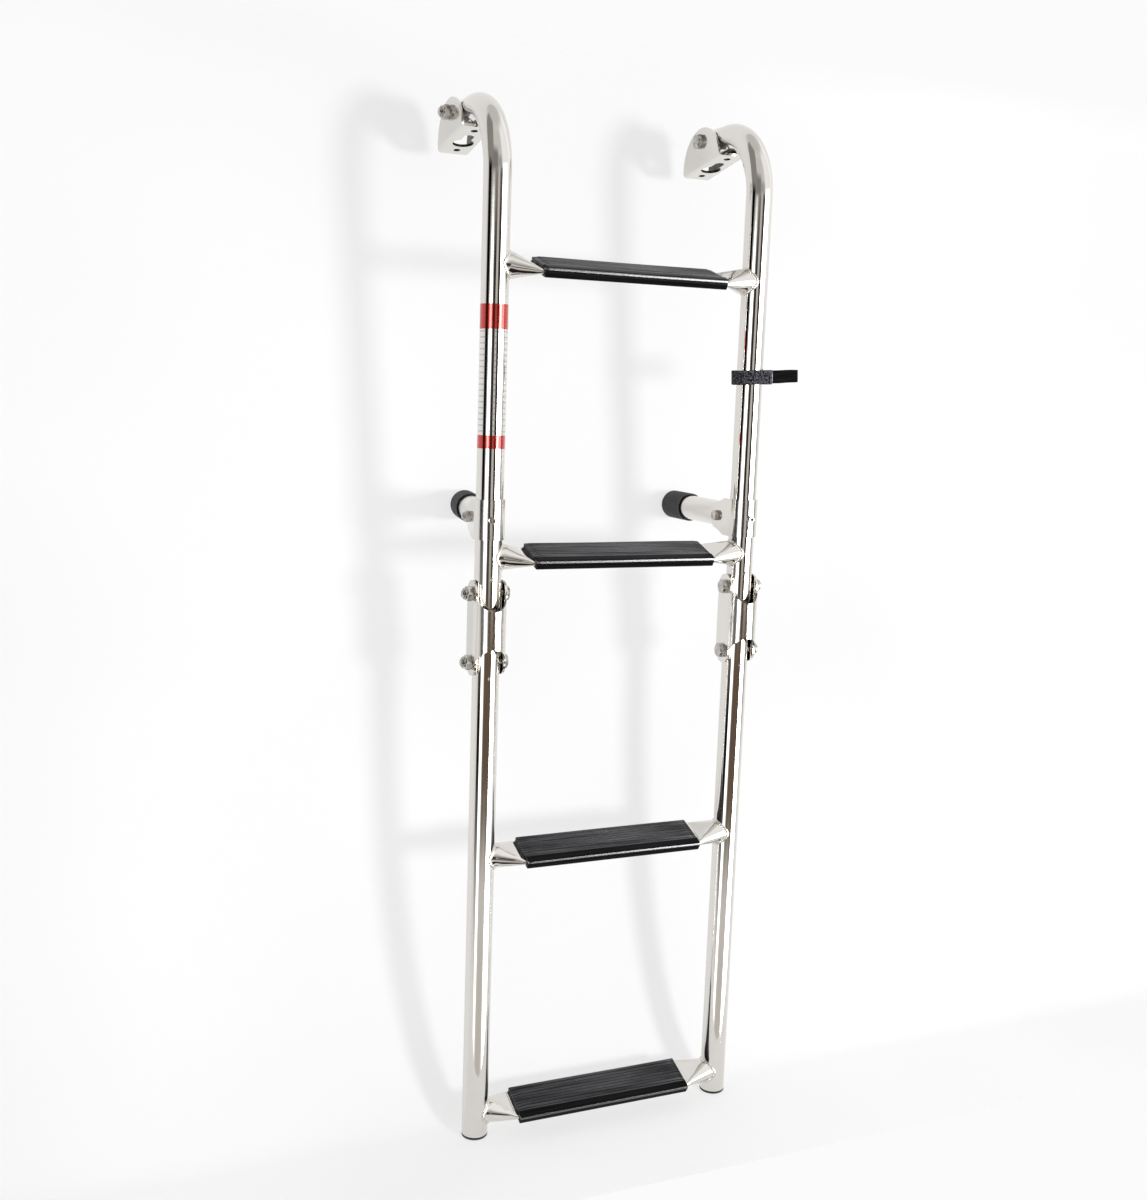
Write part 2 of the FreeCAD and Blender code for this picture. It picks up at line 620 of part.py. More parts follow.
def make_standoff(side, x, inward):
    """Standoff: clamp, arm tube, rubber cap, cross bolt and set screw."""
    inside = f"({TUBE_R} + clamp_gap)"
    outer = f"({inside} + clamp_wall)"
    name = f"{side}_standoff_clamp"
    low = "(-clamp_height / 2)"
    high = "(clamp_height / 2)"
    web = fork_web(name, inside, "clamp_wall", "clamp_height", low, "0")
    outline = (
        ("0", low), ("clamp_flare", low), ("clamp_bolt", "-clamp_ear"),
        ("clamp_bolt", "clamp_ear"), ("clamp_flare", high), ("0", high))
    parts = [web]
    for ear_x in (f"-{outer}", inside):
        parts.append(ear_plate(name + "_ear", ear_x, outline))
        parts.append(cylinder(
            name + "_ear_end", "clamp_ear", "clamp_wall", (ear_x, "clamp_bolt", "0"), "x"))
    bolt_hole = cylinder(
        name + "_bolt_hole", "arm_bolt_od / 2 + bolt_gap", f"2 * {outer}",
        (f"-{outer}", "clamp_bolt", "0"), "x")
    screw_hole = cylinder(
        name + "_screw_hole", "screw_od / 2 + bolt_gap", f"{outer}", ("0", f"-{outer}", "0"), "y")
    clamp = cut(name + "_form", fuse(name + "_sheet", *parts), bolt_hole, screw_hole)
    finish(swing(clamp, side, x), name)

    name = f"{side}_standoff_arm"
    length = "arm_length - cap_end - arm_start"
    tube = cylinder(name + "_tube", TUBE_R, length, ("0", "arm_start", "0"), "y")
    bore = cylinder(name + "_bore", f"{TUBE_R} - tube_wall", length, ("0", "arm_start", "0"), "y")
    hole = cylinder(
        name + "_hole", "arm_bolt_od / 2 + bolt_gap", "2 * tube_od", ("-tube_od", "clamp_bolt", "0"), "x")
    finish(swing(cut(name + "_form", tube, bore, hole), side, x), name)

    name = f"{side}_standoff_cap"
    cap_start = "(arm_length - cap_length)"
    rubber = cylinder(name + "_rubber", f"{TUBE_R} + cap_wall", "cap_length", ("0", cap_start, "0"), "y")
    socket = cylinder(
        name + "_socket", f"{TUBE_R} + cap_gap", "cap_length - cap_end", ("0", cap_start, "0"), "y")
    shell = cut(name + "_shell", rubber, socket)
    doc.recompute()
    rounded = doc.addObject("Part::Fillet", name + "_round")
    rounded.Base = shell
    outer_r = VALUES["tube_od"] / 2 + VALUES["cap_wall"]
    rims = edges_where(
        shell.Shape, lambda middle, along: Vector(middle.x, 0, middle.z).Length > outer_r - SAME
        and abs(along.y) < SAME)
    rounded.Edges = [(int(rim[4:]), VALUES["cap_round"], VALUES["cap_round"]) for rim in rims]
    finish(swing(rounded, side, x), name)

    name = f"{side}_standoff_bolt"
    cross = bolt(
        name, "arm_bolt_od", "arm_head_flats", "arm_head_height", "arm_nut_height", "bolt_tail",
        f"(2 * {outer})", "0", "clamp_bolt", "0", inward)
    finish(swing(cross, side, x), name)

    name = f"{side}_standoff_screw"
    pin = cylinder(
        name + "_pin", "screw_od / 2", f"screw_reach - {inside}", ("0", "-screw_reach", "0"), "y")
    socket = doc.addObject("Part::Prism", name + "_socket")
    socket.Polygon = 6
    bind(socket, Circumradius="screw_socket / sqrt(3)", Height="screw_socket")
    place(socket, ("0", "-screw_reach", "0"), ALONG["y"])
    finish(swing(cut(name + "_form", pin, socket), side, x), name)


def strap_form(name, grow):
    """Outline of the strap's loop, grown outwards, as a flat block."""
    near_r = f"({TUBE_R} + strap_loose + {grow})"
    far_r = f"(strap_end + {grow})"
    height = "strap_width"
    low = "-strap_width / 2"
    # The tangent points of the two rounds lie at this angle off the square direction.
    lean = f"asin((({near_r} - {far_r}) / strap_far))"
    body = doc.addObject("PartDesign::Body", name + "_sides")
    sketch = new_sketch(body, name + "_outline", "XY_Plane")
    corners = []
    for radius, centre, way in (
            (near_r, "0", -1), (far_r, "strap_far", -1), (far_r, "strap_far", 1), (near_r, "0", 1)):
        corners.append((f"{centre} + {radius} * sin({lean})", f"{way} * {radius} * cos({lean})"))
    draw_polygon(sketch, corners)
    pad = body.newObject("PartDesign::Pad", name + "_pad")
    pad.Profile = sketch
    bind(pad, Length=height)
    place(body, ("0", "0", low))
    near = cylinder(name + "_near", near_r, height, ("0", "0", low), "z")
    far = cylinder(name + "_far", far_r, height, ("strap_far", "0", low), "z")
    return fuse(name, body, near, far)


def make_strap():
    """Retaining strap: a loose loop round the right rail, its end lapped in front."""
    name = "retaining_strap"
    loop = strap_form(name + "_outside", "strap_tape")
    lap = strap_form(name + "_lap", "2 * strap_tape")
    front = box(
        name + "_lap_front", "strap_flap", "2 * tube_od", "strap_width",
        ("0", "-2 * tube_od", "-strap_width / 2"))
    inside = strap_form(name + "_inside", "0")
    strap = cut(name + "_form", fuse(name + "_layers", loop, common(name + "_end", lap, front)), inside)
    # The strap hangs on the rail's front, so its loop sits back by its slack.
    place(strap, ("rail_spacing", f"{RAIL_Y} + strap_loose - clamp_gap", f"{SECOND_Z} + strap_rise"),
          Rotation(Vector(0, -1, 0), 1), "strap_tilt")
    finish(strap, name)


def make_label():
    """Thin printed label wrapped round the left rail."""
    name = "left_rail_label"
    at = ("0", RAIL_Y, f"{SECOND_Z} + label_rise")
    film = cylinder(name + "_film", f"{TUBE_R} + label_gap + label_film", "label_length", at, "z")
    bore = cylinder(name + "_bore", f"{TUBE_R} + label_gap", "label_length", at, "z")
    finish(cut(name + "_form", film, bore), name)


for side, x, inward in SIDES:
    make_bracket(side, x, inward)
    make_upper_rail(side, x)
    make_link(side, x, inward)
    make_lower_rail(side, x)
    make_foot_plug(side, x)
    make_standoff(side, x, inward)
for place_name, z in (("top", TOP_Z), ("second", SECOND_Z), ("third", THIRD_Z), ("bottom", BOTTOM_Z)):
    make_step_tube(f"{place_name}_step_tube", z)
    make_tread(f"{place_name}_step_tread", z)
make_strap()
make_label()
doc.recompute()

for item in doc.Objects:
    if "Invalid" in item.State or "Error" in item.State:
        raise RuntimeError(f"{item.Name} failed: {item.State}")
for item in pieces:
    shape = item.Shape
    if shape.isNull() or not shape.isValid() or not shape.Solids:
        raise RuntimeError(f"{item.Label} has no sound solid")

os.makedirs("parts", exist_ok=True)
for item in pieces:
    item.Shape.exportStep(f"parts/{item.Label}.step")
    print(item.Label, len(item.Shape.Solids), round(item.Shape.Volume))
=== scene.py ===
"""Looks of a folding boat swim ladder, laid out as an add-on and run as a script.

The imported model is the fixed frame. Rounded and ribbed pieces are surfaces worked out
with numpy, in millimetres in the frame's axes: +X runs along the steps to the right rail,
+Y points in over the boat and +Z is up.
"""
import json
import math

import bmesh
import bpy
import numpy as np
from bpy.props import FloatProperty, FloatVectorProperty, IntProperty, PointerProperty
from mathutils import Matrix, Vector
from mathutils.bvhtree import BVHTree


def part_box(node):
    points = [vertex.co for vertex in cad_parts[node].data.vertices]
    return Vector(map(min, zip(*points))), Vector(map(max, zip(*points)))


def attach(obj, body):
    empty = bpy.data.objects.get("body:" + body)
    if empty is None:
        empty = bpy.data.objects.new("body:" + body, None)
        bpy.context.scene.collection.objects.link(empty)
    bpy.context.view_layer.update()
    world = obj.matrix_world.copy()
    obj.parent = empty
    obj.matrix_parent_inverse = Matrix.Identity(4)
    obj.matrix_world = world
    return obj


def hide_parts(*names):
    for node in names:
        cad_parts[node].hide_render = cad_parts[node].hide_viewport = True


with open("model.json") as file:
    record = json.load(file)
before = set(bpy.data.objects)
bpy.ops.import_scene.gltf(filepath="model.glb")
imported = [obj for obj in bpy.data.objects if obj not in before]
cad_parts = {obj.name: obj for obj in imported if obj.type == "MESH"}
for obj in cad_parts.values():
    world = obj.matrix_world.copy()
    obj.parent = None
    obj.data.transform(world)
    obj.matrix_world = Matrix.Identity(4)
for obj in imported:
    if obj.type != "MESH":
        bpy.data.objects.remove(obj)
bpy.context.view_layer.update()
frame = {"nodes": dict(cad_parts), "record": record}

bl_info = {
    "name": "Boat Swim Ladder",
    "version": (1, 0, 0),
    "blender": (4, 5, 0),
    "location": "View3D > Sidebar > Ladder",
    "description": "Builds the visible pieces of a folding boat swim ladder round its frame",
    "category": "Add Mesh",
}

MM = 0.001
SIDES = ("left", "right")
STEPS = ("top", "second", "third", "bottom")
# Kinds of plastic on a tread, in the order of its materials.
RIBBED, PLAIN, NOSE, GROOVE = range(4)
# Millimetres: thread's radius, across the flats, and the heights of the head and the lock nut.
M8_BOLT = {"bolt_radius": 4.0, "flats": 13.0, "head": 5.0, "nut": 8.0}
M6_BOLT = {"bolt_radius": 3.0, "flats": 10.0, "head": 4.0, "nut": 6.0}
MERGE = 2e-6
SMOOTH_UNDER = math.radians(32)
# Columns round a tube. At 96 the largest tube's silhouette is true to 0.01 mm.
AROUND = 96


def linear(code):
    """Linear colour of an sRGB hex code.

    Each channel is divided by 12.92 near black and follows a power of 2.4 above it.
    """
    channels = np.array([int(code[place:place + 2], 16) for place in (1, 3, 5)]) / 255
    low = channels / 12.92
    high = ((channels + 0.055) / 1.055) ** 2.4
    return tuple(np.where(channels <= 0.04045, low, high).tolist())


def node_box(name):
    """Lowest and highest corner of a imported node, in millimetres."""
    low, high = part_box(name)
    return np.array(low) / MM, np.array(high) / MM


def rail_of(side):
    """A rail's axis point (x, y, 0) and its tube's radius, from the straight lower rail."""
    low, high = node_box(f"{side}_lower_rail")
    middle = (low + high) / 2
    return np.array([middle[0], middle[1], 0.0]), (high[0] - low[0]) / 2


def step_axis(step):
    """Centre of a step tube, halfway between the rails."""
    low, high = node_box(f"{step}_step_tube")
    return (low + high) / 2


def step_body(step):
    """The upper two steps are welded into the upper frame, the others into the lower."""
    return "upper_frame" if step in STEPS[:2] else "lower_frame"


class LadderSizes(bpy.types.PropertyGroup):
    """Sizes of what the frame leaves to the looks."""

    tube_wall: FloatProperty(
        name="Tube wall", description="Wall of the rails and arms", default=1.5 * MM,
        unit="LENGTH", precision=4)
    tube_rim: FloatProperty(
        name="Tube rim", description="Rounding of a cut tube end", default=0.45 * MM,
        unit="LENGTH", precision=5)
    bend_radius: FloatProperty(
        name="Bend radius", description="Centre line radius at a rail's top", default=64 * MM,
        unit="LENGTH", precision=4)
    step_lean: FloatProperty(
        name="Step lean", description="How far a step's back edge is turned up",
        default=math.radians(17.8), subtype="ANGLE")
    step_round: FloatProperty(
        name="Step round", description="Round stretch of a step tube beside a rail",
        default=4 * MM, unit="LENGTH", precision=4)
    step_taper: FloatProperty(
        name="Step taper", description="Rail axis to the flattened stretch of a step tube",
        default=38 * MM, unit="LENGTH", precision=4)
    flat_width: FloatProperty(
        name="Flat width", description="Flattened step tube, front to back", default=35 * MM,
        unit="LENGTH", precision=4)
    flat_height: FloatProperty(
        name="Flat height", description="Flattened step tube, thickness", default=5.6 * MM,
        unit="LENGTH", precision=4)
    weld_size: FloatProperty(
        name="Weld bead", description="Half width of a weld bead", default=1.5 * MM,
        unit="LENGTH", precision=5)
    weld_pitch: FloatProperty(
        name="Weld ripple", description="Between two ripples of a weld bead", default=1.7 * MM,
        unit="LENGTH", precision=5)
    rib_pitch: FloatProperty(
        name="Rib pitch", description="Between the tread's grooves", default=3.6 * MM,
        unit="LENGTH", precision=5)
    rib_depth: FloatProperty(
        name="Rib depth", description="Depth of the tread's grooves", default=0.8 * MM,
        unit="LENGTH", precision=5)
    rib_count: IntProperty(
        name="Grooves", description="Number of grooves in a tread", default=8, min=1)
    strap_width: FloatProperty(
        name="Strap width", description="Retaining strap along the rail", default=13 * MM,
        unit="LENGTH", precision=4)
    strap_tape: FloatProperty(
        name="Strap tape", description="Thickness of the strap", default=1.5 * MM,
        unit="LENGTH", precision=5)
    cap_ring: FloatProperty(
        name="Cap rings", description="Between the fine rings of a rubber cap", default=1.1 * MM,
        unit="LENGTH", precision=5)
    edge_break: FloatProperty(
        name="Edge break", description="Rounding of the sheet metal's edges", default=0.35 * MM,
        unit="LENGTH", precision=5)


class LadderColours(bpy.types.PropertyGroup):
    """Colours that a user would change."""

    steel: FloatVectorProperty(
        name="Steel", description="Polished stainless steel", subtype="COLOR",
        default=linear("#DDDAD5"), min=0, max=1)
    bolts: FloatVectorProperty(
        name="Bolts", description="Tumbled stainless bolts", subtype="COLOR",
        default=linear("#C8C5C0"), min=0, max=1)
    treads: FloatVectorProperty(
        name="Treads", description="Noses of the treads, and the plugs", subtype="COLOR",
        default=linear("#121213"), min=0, max=1)
    rubber: FloatVectorProperty(
        name="Rubber", description="Rubber caps", subtype="COLOR",
        default=linear("#2E2E30"), min=0, max=1)
    webbing: FloatVectorProperty(
        name="Webbing", description="Lightest loops of the strap", subtype="COLOR",
        default=linear("#5C5C63"), min=0, max=1)
    ink: FloatVectorProperty(
        name="Ink", description="Bands of the rail's label", subtype="COLOR",
        default=linear("#BE352D"), min=0, max=1)


# Surfaces


def unit(vectors):
    """Vectors divided by their own length."""
    return vectors / np.linalg.norm(vectors, axis=-1, keepdims=True)


def turns(count):
    """Angles of a whole turn in equal steps, without its end."""
    return np.linspace(0, 2 * math.pi, count, endpoint=False)


def quads(rows, columns, row_loop, column_loop):
    """Row and column of the four corners of every face of a grid.

    A face joins a point, the next one in its row, and the two beside them in the next row.
    The corners' numbers run past the grid's end where it closes on itself.
    """
    row = np.arange(rows if row_loop else rows - 1)
    column = np.arange(columns if column_loop else columns - 1)
    row, column = np.meshgrid(row, column, indexing="ij")
    corner_rows = np.stack([row, row, row + 1, row + 1], -1).reshape(-1, 4)
    corner_columns = np.stack([column, column + 1, column + 1, column], -1).reshape(-1, 4)
    return corner_rows, corner_columns


def volume_of(points, faces):
    """Six times the volume inside quads: the sum of each half's three corners' triple product."""
    a, b, c, d = (points[faces[:, corner]] for corner in range(4))
    return np.sum(a * np.cross(b, c)) + np.sum(a * np.cross(c, d))


class Skin:
    """Collects grids of points in millimetres and makes one closed mesh of them."""

    def __init__(self):
        self.points = []
        self.faces = []
        self.maps = []
        self.inks = []
        self.count = 0

    def grid(self, points, row_loop=False, column_loop=True, across=None, along=None, ink=0):
        """Add a grid of points, with the surface's own millimetres along its rows and columns.

        The faces are turned outwards: where the volume that they close is negative, each is
        reversed. The ink is a material's number, for the whole grid, for each of its columns or
        for each face.
        """
        rows, columns = points.shape[:2]
        corner_rows, corner_columns = quads(rows, columns, row_loop, column_loop)
        faces = (corner_rows % rows) * columns + corner_columns % columns
        along = np.arange(rows + 1.0) if along is None else along
        across = np.arange(columns + 1.0) if across is None else across
        spots = np.stack([across[corner_columns], along[corner_rows]], -1)
        flat = points.reshape(-1, 3)
        if volume_of(flat - flat.mean(axis=0), faces) < 0:
            faces = faces[:, ::-1]
            spots = spots[:, ::-1]
        self.points.append(flat)
        self.faces.append(faces + self.count)
        self.maps.append(spots.reshape(-1, 2))
        self.inks.append(np.tile(np.atleast_1d(ink), len(faces) // np.size(ink)))
        self.count += len(flat)
        return self

    def make(self, name, body, slot, materials, replaces=(), smooth=SMOOTH_UNDER):
        """Turn the grids into a piece that rides on a body.

        Points that coincide are merged, which closes the seams and the poles.
        """
        points = np.concatenate(self.points) * MM
        faces = np.concatenate(self.faces)
        mesh = bpy.data.meshes.new(name)
        mesh.vertices.add(len(points))
        mesh.vertices.foreach_set("co", points.ravel())
        mesh.loops.add(faces.size)
        mesh.loops.foreach_set("vertex_index", faces.ravel())
        mesh.polygons.add(len(faces))
        mesh.polygons.foreach_set("loop_start", np.arange(0, faces.size, 4))
        mesh.polygons.foreach_set("material_index", np.concatenate(self.inks))
        layer = mesh.uv_layers.new(name="surface")
        layer.data.foreach_set("uv", np.concatenate(self.maps).ravel())
        mesh.update(calc_edges=True)
        for material in materials:
            mesh.materials.append(material)
        tidy_mesh(mesh, smooth)
        return put(mesh, name, body, replaces)


def tidy_mesh(mesh, smooth):
    """Merge coincident points, drop faces with no area, and smooth all but the sharp edges."""
    shape = bmesh.new()
    shape.from_mesh(mesh)
    bmesh.ops.remove_doubles(shape, verts=shape.verts, dist=MERGE)
    bmesh.ops.dissolve_degenerate(shape, edges=shape.edges, dist=MERGE)
    shape.to_mesh(mesh)
    shape.free()
    mesh.shade_smooth()
    mesh.set_sharp_from_angle(angle=smooth)


def put(mesh, name, body, replaces=()):
    """Link a mesh as a piece, let it ride on its body, and hide the parts that it replaces."""
    piece = bpy.data.objects.new(name, mesh)
    bpy.context.scene.collection.objects.link(piece)
    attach(piece, body)
    if replaces:
        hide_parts(*replaces)
    return piece


def straight(start, direction, side):
    """Path along a line: the point at a distance is the start plus that much of the direction."""
    start, direction, side = (np.asarray(value, float) for value in (start, direction, side))
    up = np.cross(direction, side)

    def path(distance):
        centres = start + np.multiply.outer(distance, direction)
        return centres, np.broadcast_to(side, centres.shape), np.broadcast_to(up, centres.shape)
    return path


def round_section(distance, radius, path, flats=None, columns=AROUND):
    """Surface whose rows are circles of the given radii, carried along a path.

    A point is the path's centre plus the radius times the cosine of its angle along the side
    and times the sine along the up vector. Where flats are given, the radius is the smaller
    of its own and a hexagon's: half the flats over the cosine of the angle to the nearest flat.
    """
    angle = turns(columns)
    radii = np.repeat(np.asarray(radius, float)[:, None], columns, axis=1)
    if flats is not None:
        off = (angle + math.pi / 6) % (math.pi / 3) - math.pi / 6
        radii = np.minimum(radii, np.asarray(flats, float)[:, None] / 2 / np.cos(off))
    centres, side, up = path(np.asarray(distance, float))
    sideways = radii[..., None] * np.cos(angle)[None, :, None] * side[:, None, :]
    upwards = radii[..., None] * np.sin(angle)[None, :, None] * up[:, None, :]
    return centres[:, None, :] + sideways + upwards


def run_along(line):
    """Distance run from a line's start to each of its points."""
    return np.concatenate([[0], np.cumsum(np.linalg.norm(np.diff(line, axis=0), axis=1))])


def run_length(distance, radius, closed):
    """Distance run along an outline of (distance, radius) points, with its closing stretch."""
    outline = np.stack([distance, radius], -1)
    if closed:
        return run_along(np.concatenate([outline, outline[:1]]))
    run = run_along(outline)
    return np.append(run, run[-1])


def lathe(skin, outline, path, closed=False, flats=None, columns=AROUND, ink=0):
    """Add a turned surface to a skin: (distance, radius) points swung about a path."""
    distance, radius = np.array(outline, float).T
    across = np.linspace(0, 2 * math.pi * radius.max(), columns + 1)
    return skin.grid(
        round_section(distance, radius, path, flats, columns), row_loop=closed, across=across,
        along=run_length(distance, radius, closed), ink=ink)


def arc(centre, radius, start, end, steps=5):
    """Points of an arc in an outline, between two angles in degrees."""
    angle = np.radians(np.linspace(start, end, steps))
    return (np.stack([np.cos(angle), np.sin(angle)], -1) * radius + centre).tolist()


def tube_outline(length, outer, inner, rim, stations=()):
    """Closed outline of a tube's wall with rounded rims, from its start out along the outside."""
    out_run = [[spot, outer] for spot in stations]
    back_run = [[spot, inner] for spot in reversed(stations)]
    return (
        arc((rim, outer - rim), rim, 180, 90) + out_run
        + arc((length - rim, outer - rim), rim, 90, 0)
        + arc((length - rim, inner + rim), rim, 0, -90) + back_run
        + arc((rim, inner + rim), rim, 270, 180))


# Materials


def plug(tree, socket, value):
    """Link a source to a socket or set its value. A colour is a hex code or three channels."""
    if isinstance(value, bpy.types.NodeSocket):
        tree.links.new(value, socket)
    elif socket.type == "RGBA":
        socket.default_value = (*(linear(value) if isinstance(value, str) else value), 1)
    else:
        socket.default_value = value


def add(tree, kind, links=None, **settings):
    """Add a node: settings are its properties, and links its inputs' values or sources."""
    item = tree.nodes.new(kind)
    for name, value in settings.items():
        setattr(item, name, value)
    for name, value in (links or {}).items():
        plug(tree, item.inputs[name], value)
    return item


def new_material(name):
    """A material with an empty node tree, and that tree."""
    material = bpy.data.materials.new(name)
    material.use_nodes = True
    material.node_tree.nodes.clear()
    return material, material.node_tree


def shade_with(tree, inputs):
    """End a material's tree with a Principled shader that has these inputs."""
    shader = add(tree, "ShaderNodeBsdfPrincipled", inputs)
    add(tree, "ShaderNodeOutputMaterial", {"Surface": shader.outputs[0]})


def place_of(tree, *size):
    """Coordinates for a pattern of a real size in millimetres, with one unit for each size.

    Two sizes lie across and along the piece's own surface map. A single one lies in the object.
    """
    if len(size) == 2:
        source = add(tree, "ShaderNodeUVMap", uv_map="surface").outputs[0]
        scale = (1 / size[0], 1 / size[1], 1)
    else:
        source = add(tree, "ShaderNodeTexCoord").outputs["Object"]
        scale = (1 / (size[0] * MM),) * 3
    return add(tree, "ShaderNodeMapping", {"Vector": source, "Scale": scale}).outputs[0]


def laid_out(tree, noises, terms):
    """Sum of noises, each laid out between two numbers.

    A term is a noise's name, the two numbers, and the lowest and highest of its values that
    count, which are 0.3 and 0.7 where none are given.
    """
    total = None
    for name, low, high, *reach in terms:
        from_low, from_high = reach or (0.3, 0.7)
        term = add(tree, "ShaderNodeMapRange", {
            "Value": noises[name], "From Min": from_low, "From Max": from_high,
            "To Min": low, "To Max": high}).outputs[0]
        if total is None:
            total = term
        else:
            total = add(tree, "ShaderNodeMath", {0: total, 1: term}, operation="ADD").outputs[0]
    return total


# How each material looks. Its noises have a size as in place_of and a detail. Its colour is one
# colour, or two that are mixed by terms as in laid_out, and a word is one of the user's colours.
# Its roughness is a number or terms, and a bump is a noise, a strength and a depth in millimetres.
RECIPES = {
    # 304 stainless tube, drawn, then buffed lengthwise to a mirror. The buffing leaves streaks a
    # few tenths of a millimetre wide, drawn at 0.8 mm so that they show, and hands leave faint
    # dull patches about 30 mm across.
    "buffed_304_tube": {
        "noises": {"streak": ((0.8, 90), 3.0), "smudge": ((30,), 2.0)},
        "colours": ("steel",),
        "rough": (("streak", 0.035, 0.075), ("smudge", 0.0, 0.05, 0.45, 0.75)),
        "bumps": (("streak", 0.04, 0.01),),
        "inputs": {"Metallic": 1.0}},
    # 304 stainless sheet, pressed, folded and then polished on a soft wheel, which leaves a
    # slight waviness about 6 mm across and a fine grain, drawn at 0.7 mm.
    "wheel_polished_304_sheet": {
        "noises": {"wave": ((6,), 1.0), "grain": ((0.7,), 2.0)},
        "colours": ("steel",),
        "rough": (("grain", 0.09, 0.16),),
        "bumps": (("wave", 0.2, 0.15), ("grain", 0.1, 0.02)),
        "inputs": {"Metallic": 1.0}},
    # The same sheet inside its folds, left unpolished from the mill: dull, a little stained,
    # and dark grey as painted shade inside the folds.
    "rolled_304_sheet": {
        "noises": {"stain": ((7,), 3.0)},
        "colours": ("#5B5954", "#3E3D39"),
        "mixed_by": (("stain", 0.0, 1.0),),
        "rough": (("stain", 0.3, 0.45),),
        "inputs": {"Metallic": 1.0}},
    # 304 stainless tube left with the fine lengthwise satin of a belt grinder.
    "belt_satin_304_tube": {
        "noises": {"streak": ((0.6, 30), 3.0)},
        "colours": ("steel",),
        "rough": (("streak", 0.14, 0.26),),
        "bumps": (("streak", 0.25, 0.02),),
        "inputs": {"Metallic": 1.0}},
    # TIG bead, pickled and polished over, a little warmer where the heat was highest.
    "pickled_weld_bead": {
        "noises": {"heat": ((5,), 2.0), "grain": ((0.4,), 2.0)},
        "colours": ("steel", "#CDC6B8"),
        "mixed_by": (("heat", 0.0, 0.7),),
        "rough": (("grain", 0.1, 0.24),),
        "bumps": (("grain", 0.3, 0.08),),
        "inputs": {"Metallic": 1.0}},
    # A2 stainless bolts, cold headed and tumbled, so duller and a little darker than the tube.
    "tumbled_a2_bolts": {
        "noises": {"grain": ((0.8,), 3.0), "wear": ((4,), 2.0)},
        "colours": ("bolts", "#807D78"),
        "mixed_by": (("wear", 0.0, 0.6),),
        "rough": (("grain", 0.1, 0.22),),
        "bumps": (("grain", 0.25, 0.05),),
        "inputs": {"Metallic": 1.0}},
    # Nylon 66 insert of a lock nut, natural white and slightly waxy.
    "natural_nylon_66": {
        "noises": {"wax": ((1.5,), 2.0)},
        "colours": ("#D9D6CC", "#C6C2B6"),
        "mixed_by": (("wax", 0.0, 1.0),),
        "rough": 0.45},
    # Extruded black PVC on the ribbed top, with grey streaks about 5 mm wide and 90 mm long:
    # partly wear from feet, partly painted sheen. The die's lines are a few hundredths of a
    # millimetre apart, drawn at 0.6 mm so that they show.
    "scuffed_black_pvc": {
        "noises": {"die": ((0.6, 70), 4.0), "wear_and_sheen": ((5, 90), 3.0)},
        "colours": ("#09090A", "#4E4E52"),
        "mixed_by": (("wear_and_sheen", 0.0, 0.75, 0.38, 0.66), ("die", 0.0, 0.25)),
        "rough": (("wear_and_sheen", 0.46, 0.24),),
        "bumps": (("die", 0.5, 0.03),),
        "inputs": {"Specular IOR Level": 0.3}},
    # The same PVC on the tread's plain front and lips, hardly worn by feet, with faint lines 2 mm
    # apart.
    "plain_black_pvc": {
        "noises": {"die": ((2, 110), 2.0)},
        "colours": ("#090909", "#202022"),
        "mixed_by": (("die", 0.0, 0.5),),
        "rough": (("die", 0.16, 0.28),),
        "bumps": (("die", 0.3, 0.03),),
        "inputs": {"Specular IOR Level": 0.04}},
    # The same PVC along the nose, rubbed shiny by feet, a little uneven every 40 mm.
    "rubbed_black_pvc": {
        "noises": {"rub": ((8, 40), 2.0)},
        "colours": ("treads", "#262628"),
        "mixed_by": (("rub", 0.0, 0.5),),
        "rough": (("rub", 0.18, 0.26),),
        "inputs": {"Specular IOR Level": 1.0, "Coat Weight": 1.0, "Coat Roughness": 0.22}},
    # The same PVC down in the grooves, which feet don't reach, kept near black as painted shade,
    # with a fine grain 0.5 mm across.
    "unworn_black_pvc": {
        "noises": {"grain": ((0.5,), 2.0)},
        "colours": ("#060607", "#161617"),
        "mixed_by": (("grain", 0.0, 0.4),),
        "rough": 0.5,
        "inputs": {"Specular IOR Level": 0.1}},
    # Injection moulded black polyethylene with a fine spark-eroded grain, drawn at 0.5 mm.
    "moulded_black_polyethylene": {
        "noises": {"grain": ((0.5,), 2.0)},
        "colours": ("treads", "#343434"),
        "mixed_by": (("grain", 0.0, 0.4),),
        "rough": (("grain", 0.42, 0.6),),
        "bumps": (("grain", 0.4, 0.04),)},
    # Moulded EPDM rubber, matt, with a bloom that greys it in patches about 8 mm across.
    "moulded_epdm_rubber": {
        "noises": {"bloom": ((8,), 3.0), "grain": ((0.6,), 2.0)},
        "colours": ("rubber", "#47474A"),
        "mixed_by": (("bloom", 0.0, 0.5),),
        "rough": (("grain", 0.6, 0.8),),
        "bumps": (("grain", 0.5, 0.06),)},
    # Nylon hook tape: rows of short stiff hooks, shinier and blacker than the loops. The rows
    # are 1.3 mm apart, drawn at 2.6 mm so that they show.
    "nylon_hook_tape": {
        "noises": {"rows": ((2.6, 24), 2.0)},
        "colours": ("#020203", "#101012"),
        "mixed_by": (("rows", 0.0, 1.0, 0.45, 0.7),),
        "rough": 0.6,
        "bumps": (("rows", 0.5, 0.2),),
        "inputs": {"Specular IOR Level": 0.03}},
    # The webbing's cut end, melted so that it doesn't fray: smooth grey nylon, uneven every
    # 2 mm.
    "sealed_nylon_edge": {
        "noises": {"melt": ((2,), 2.0)},
        "colours": ("#7E7E82", "#A9A9AC"),
        "mixed_by": (("melt", 0.0, 1.0),),
        "rough": 0.4},
}


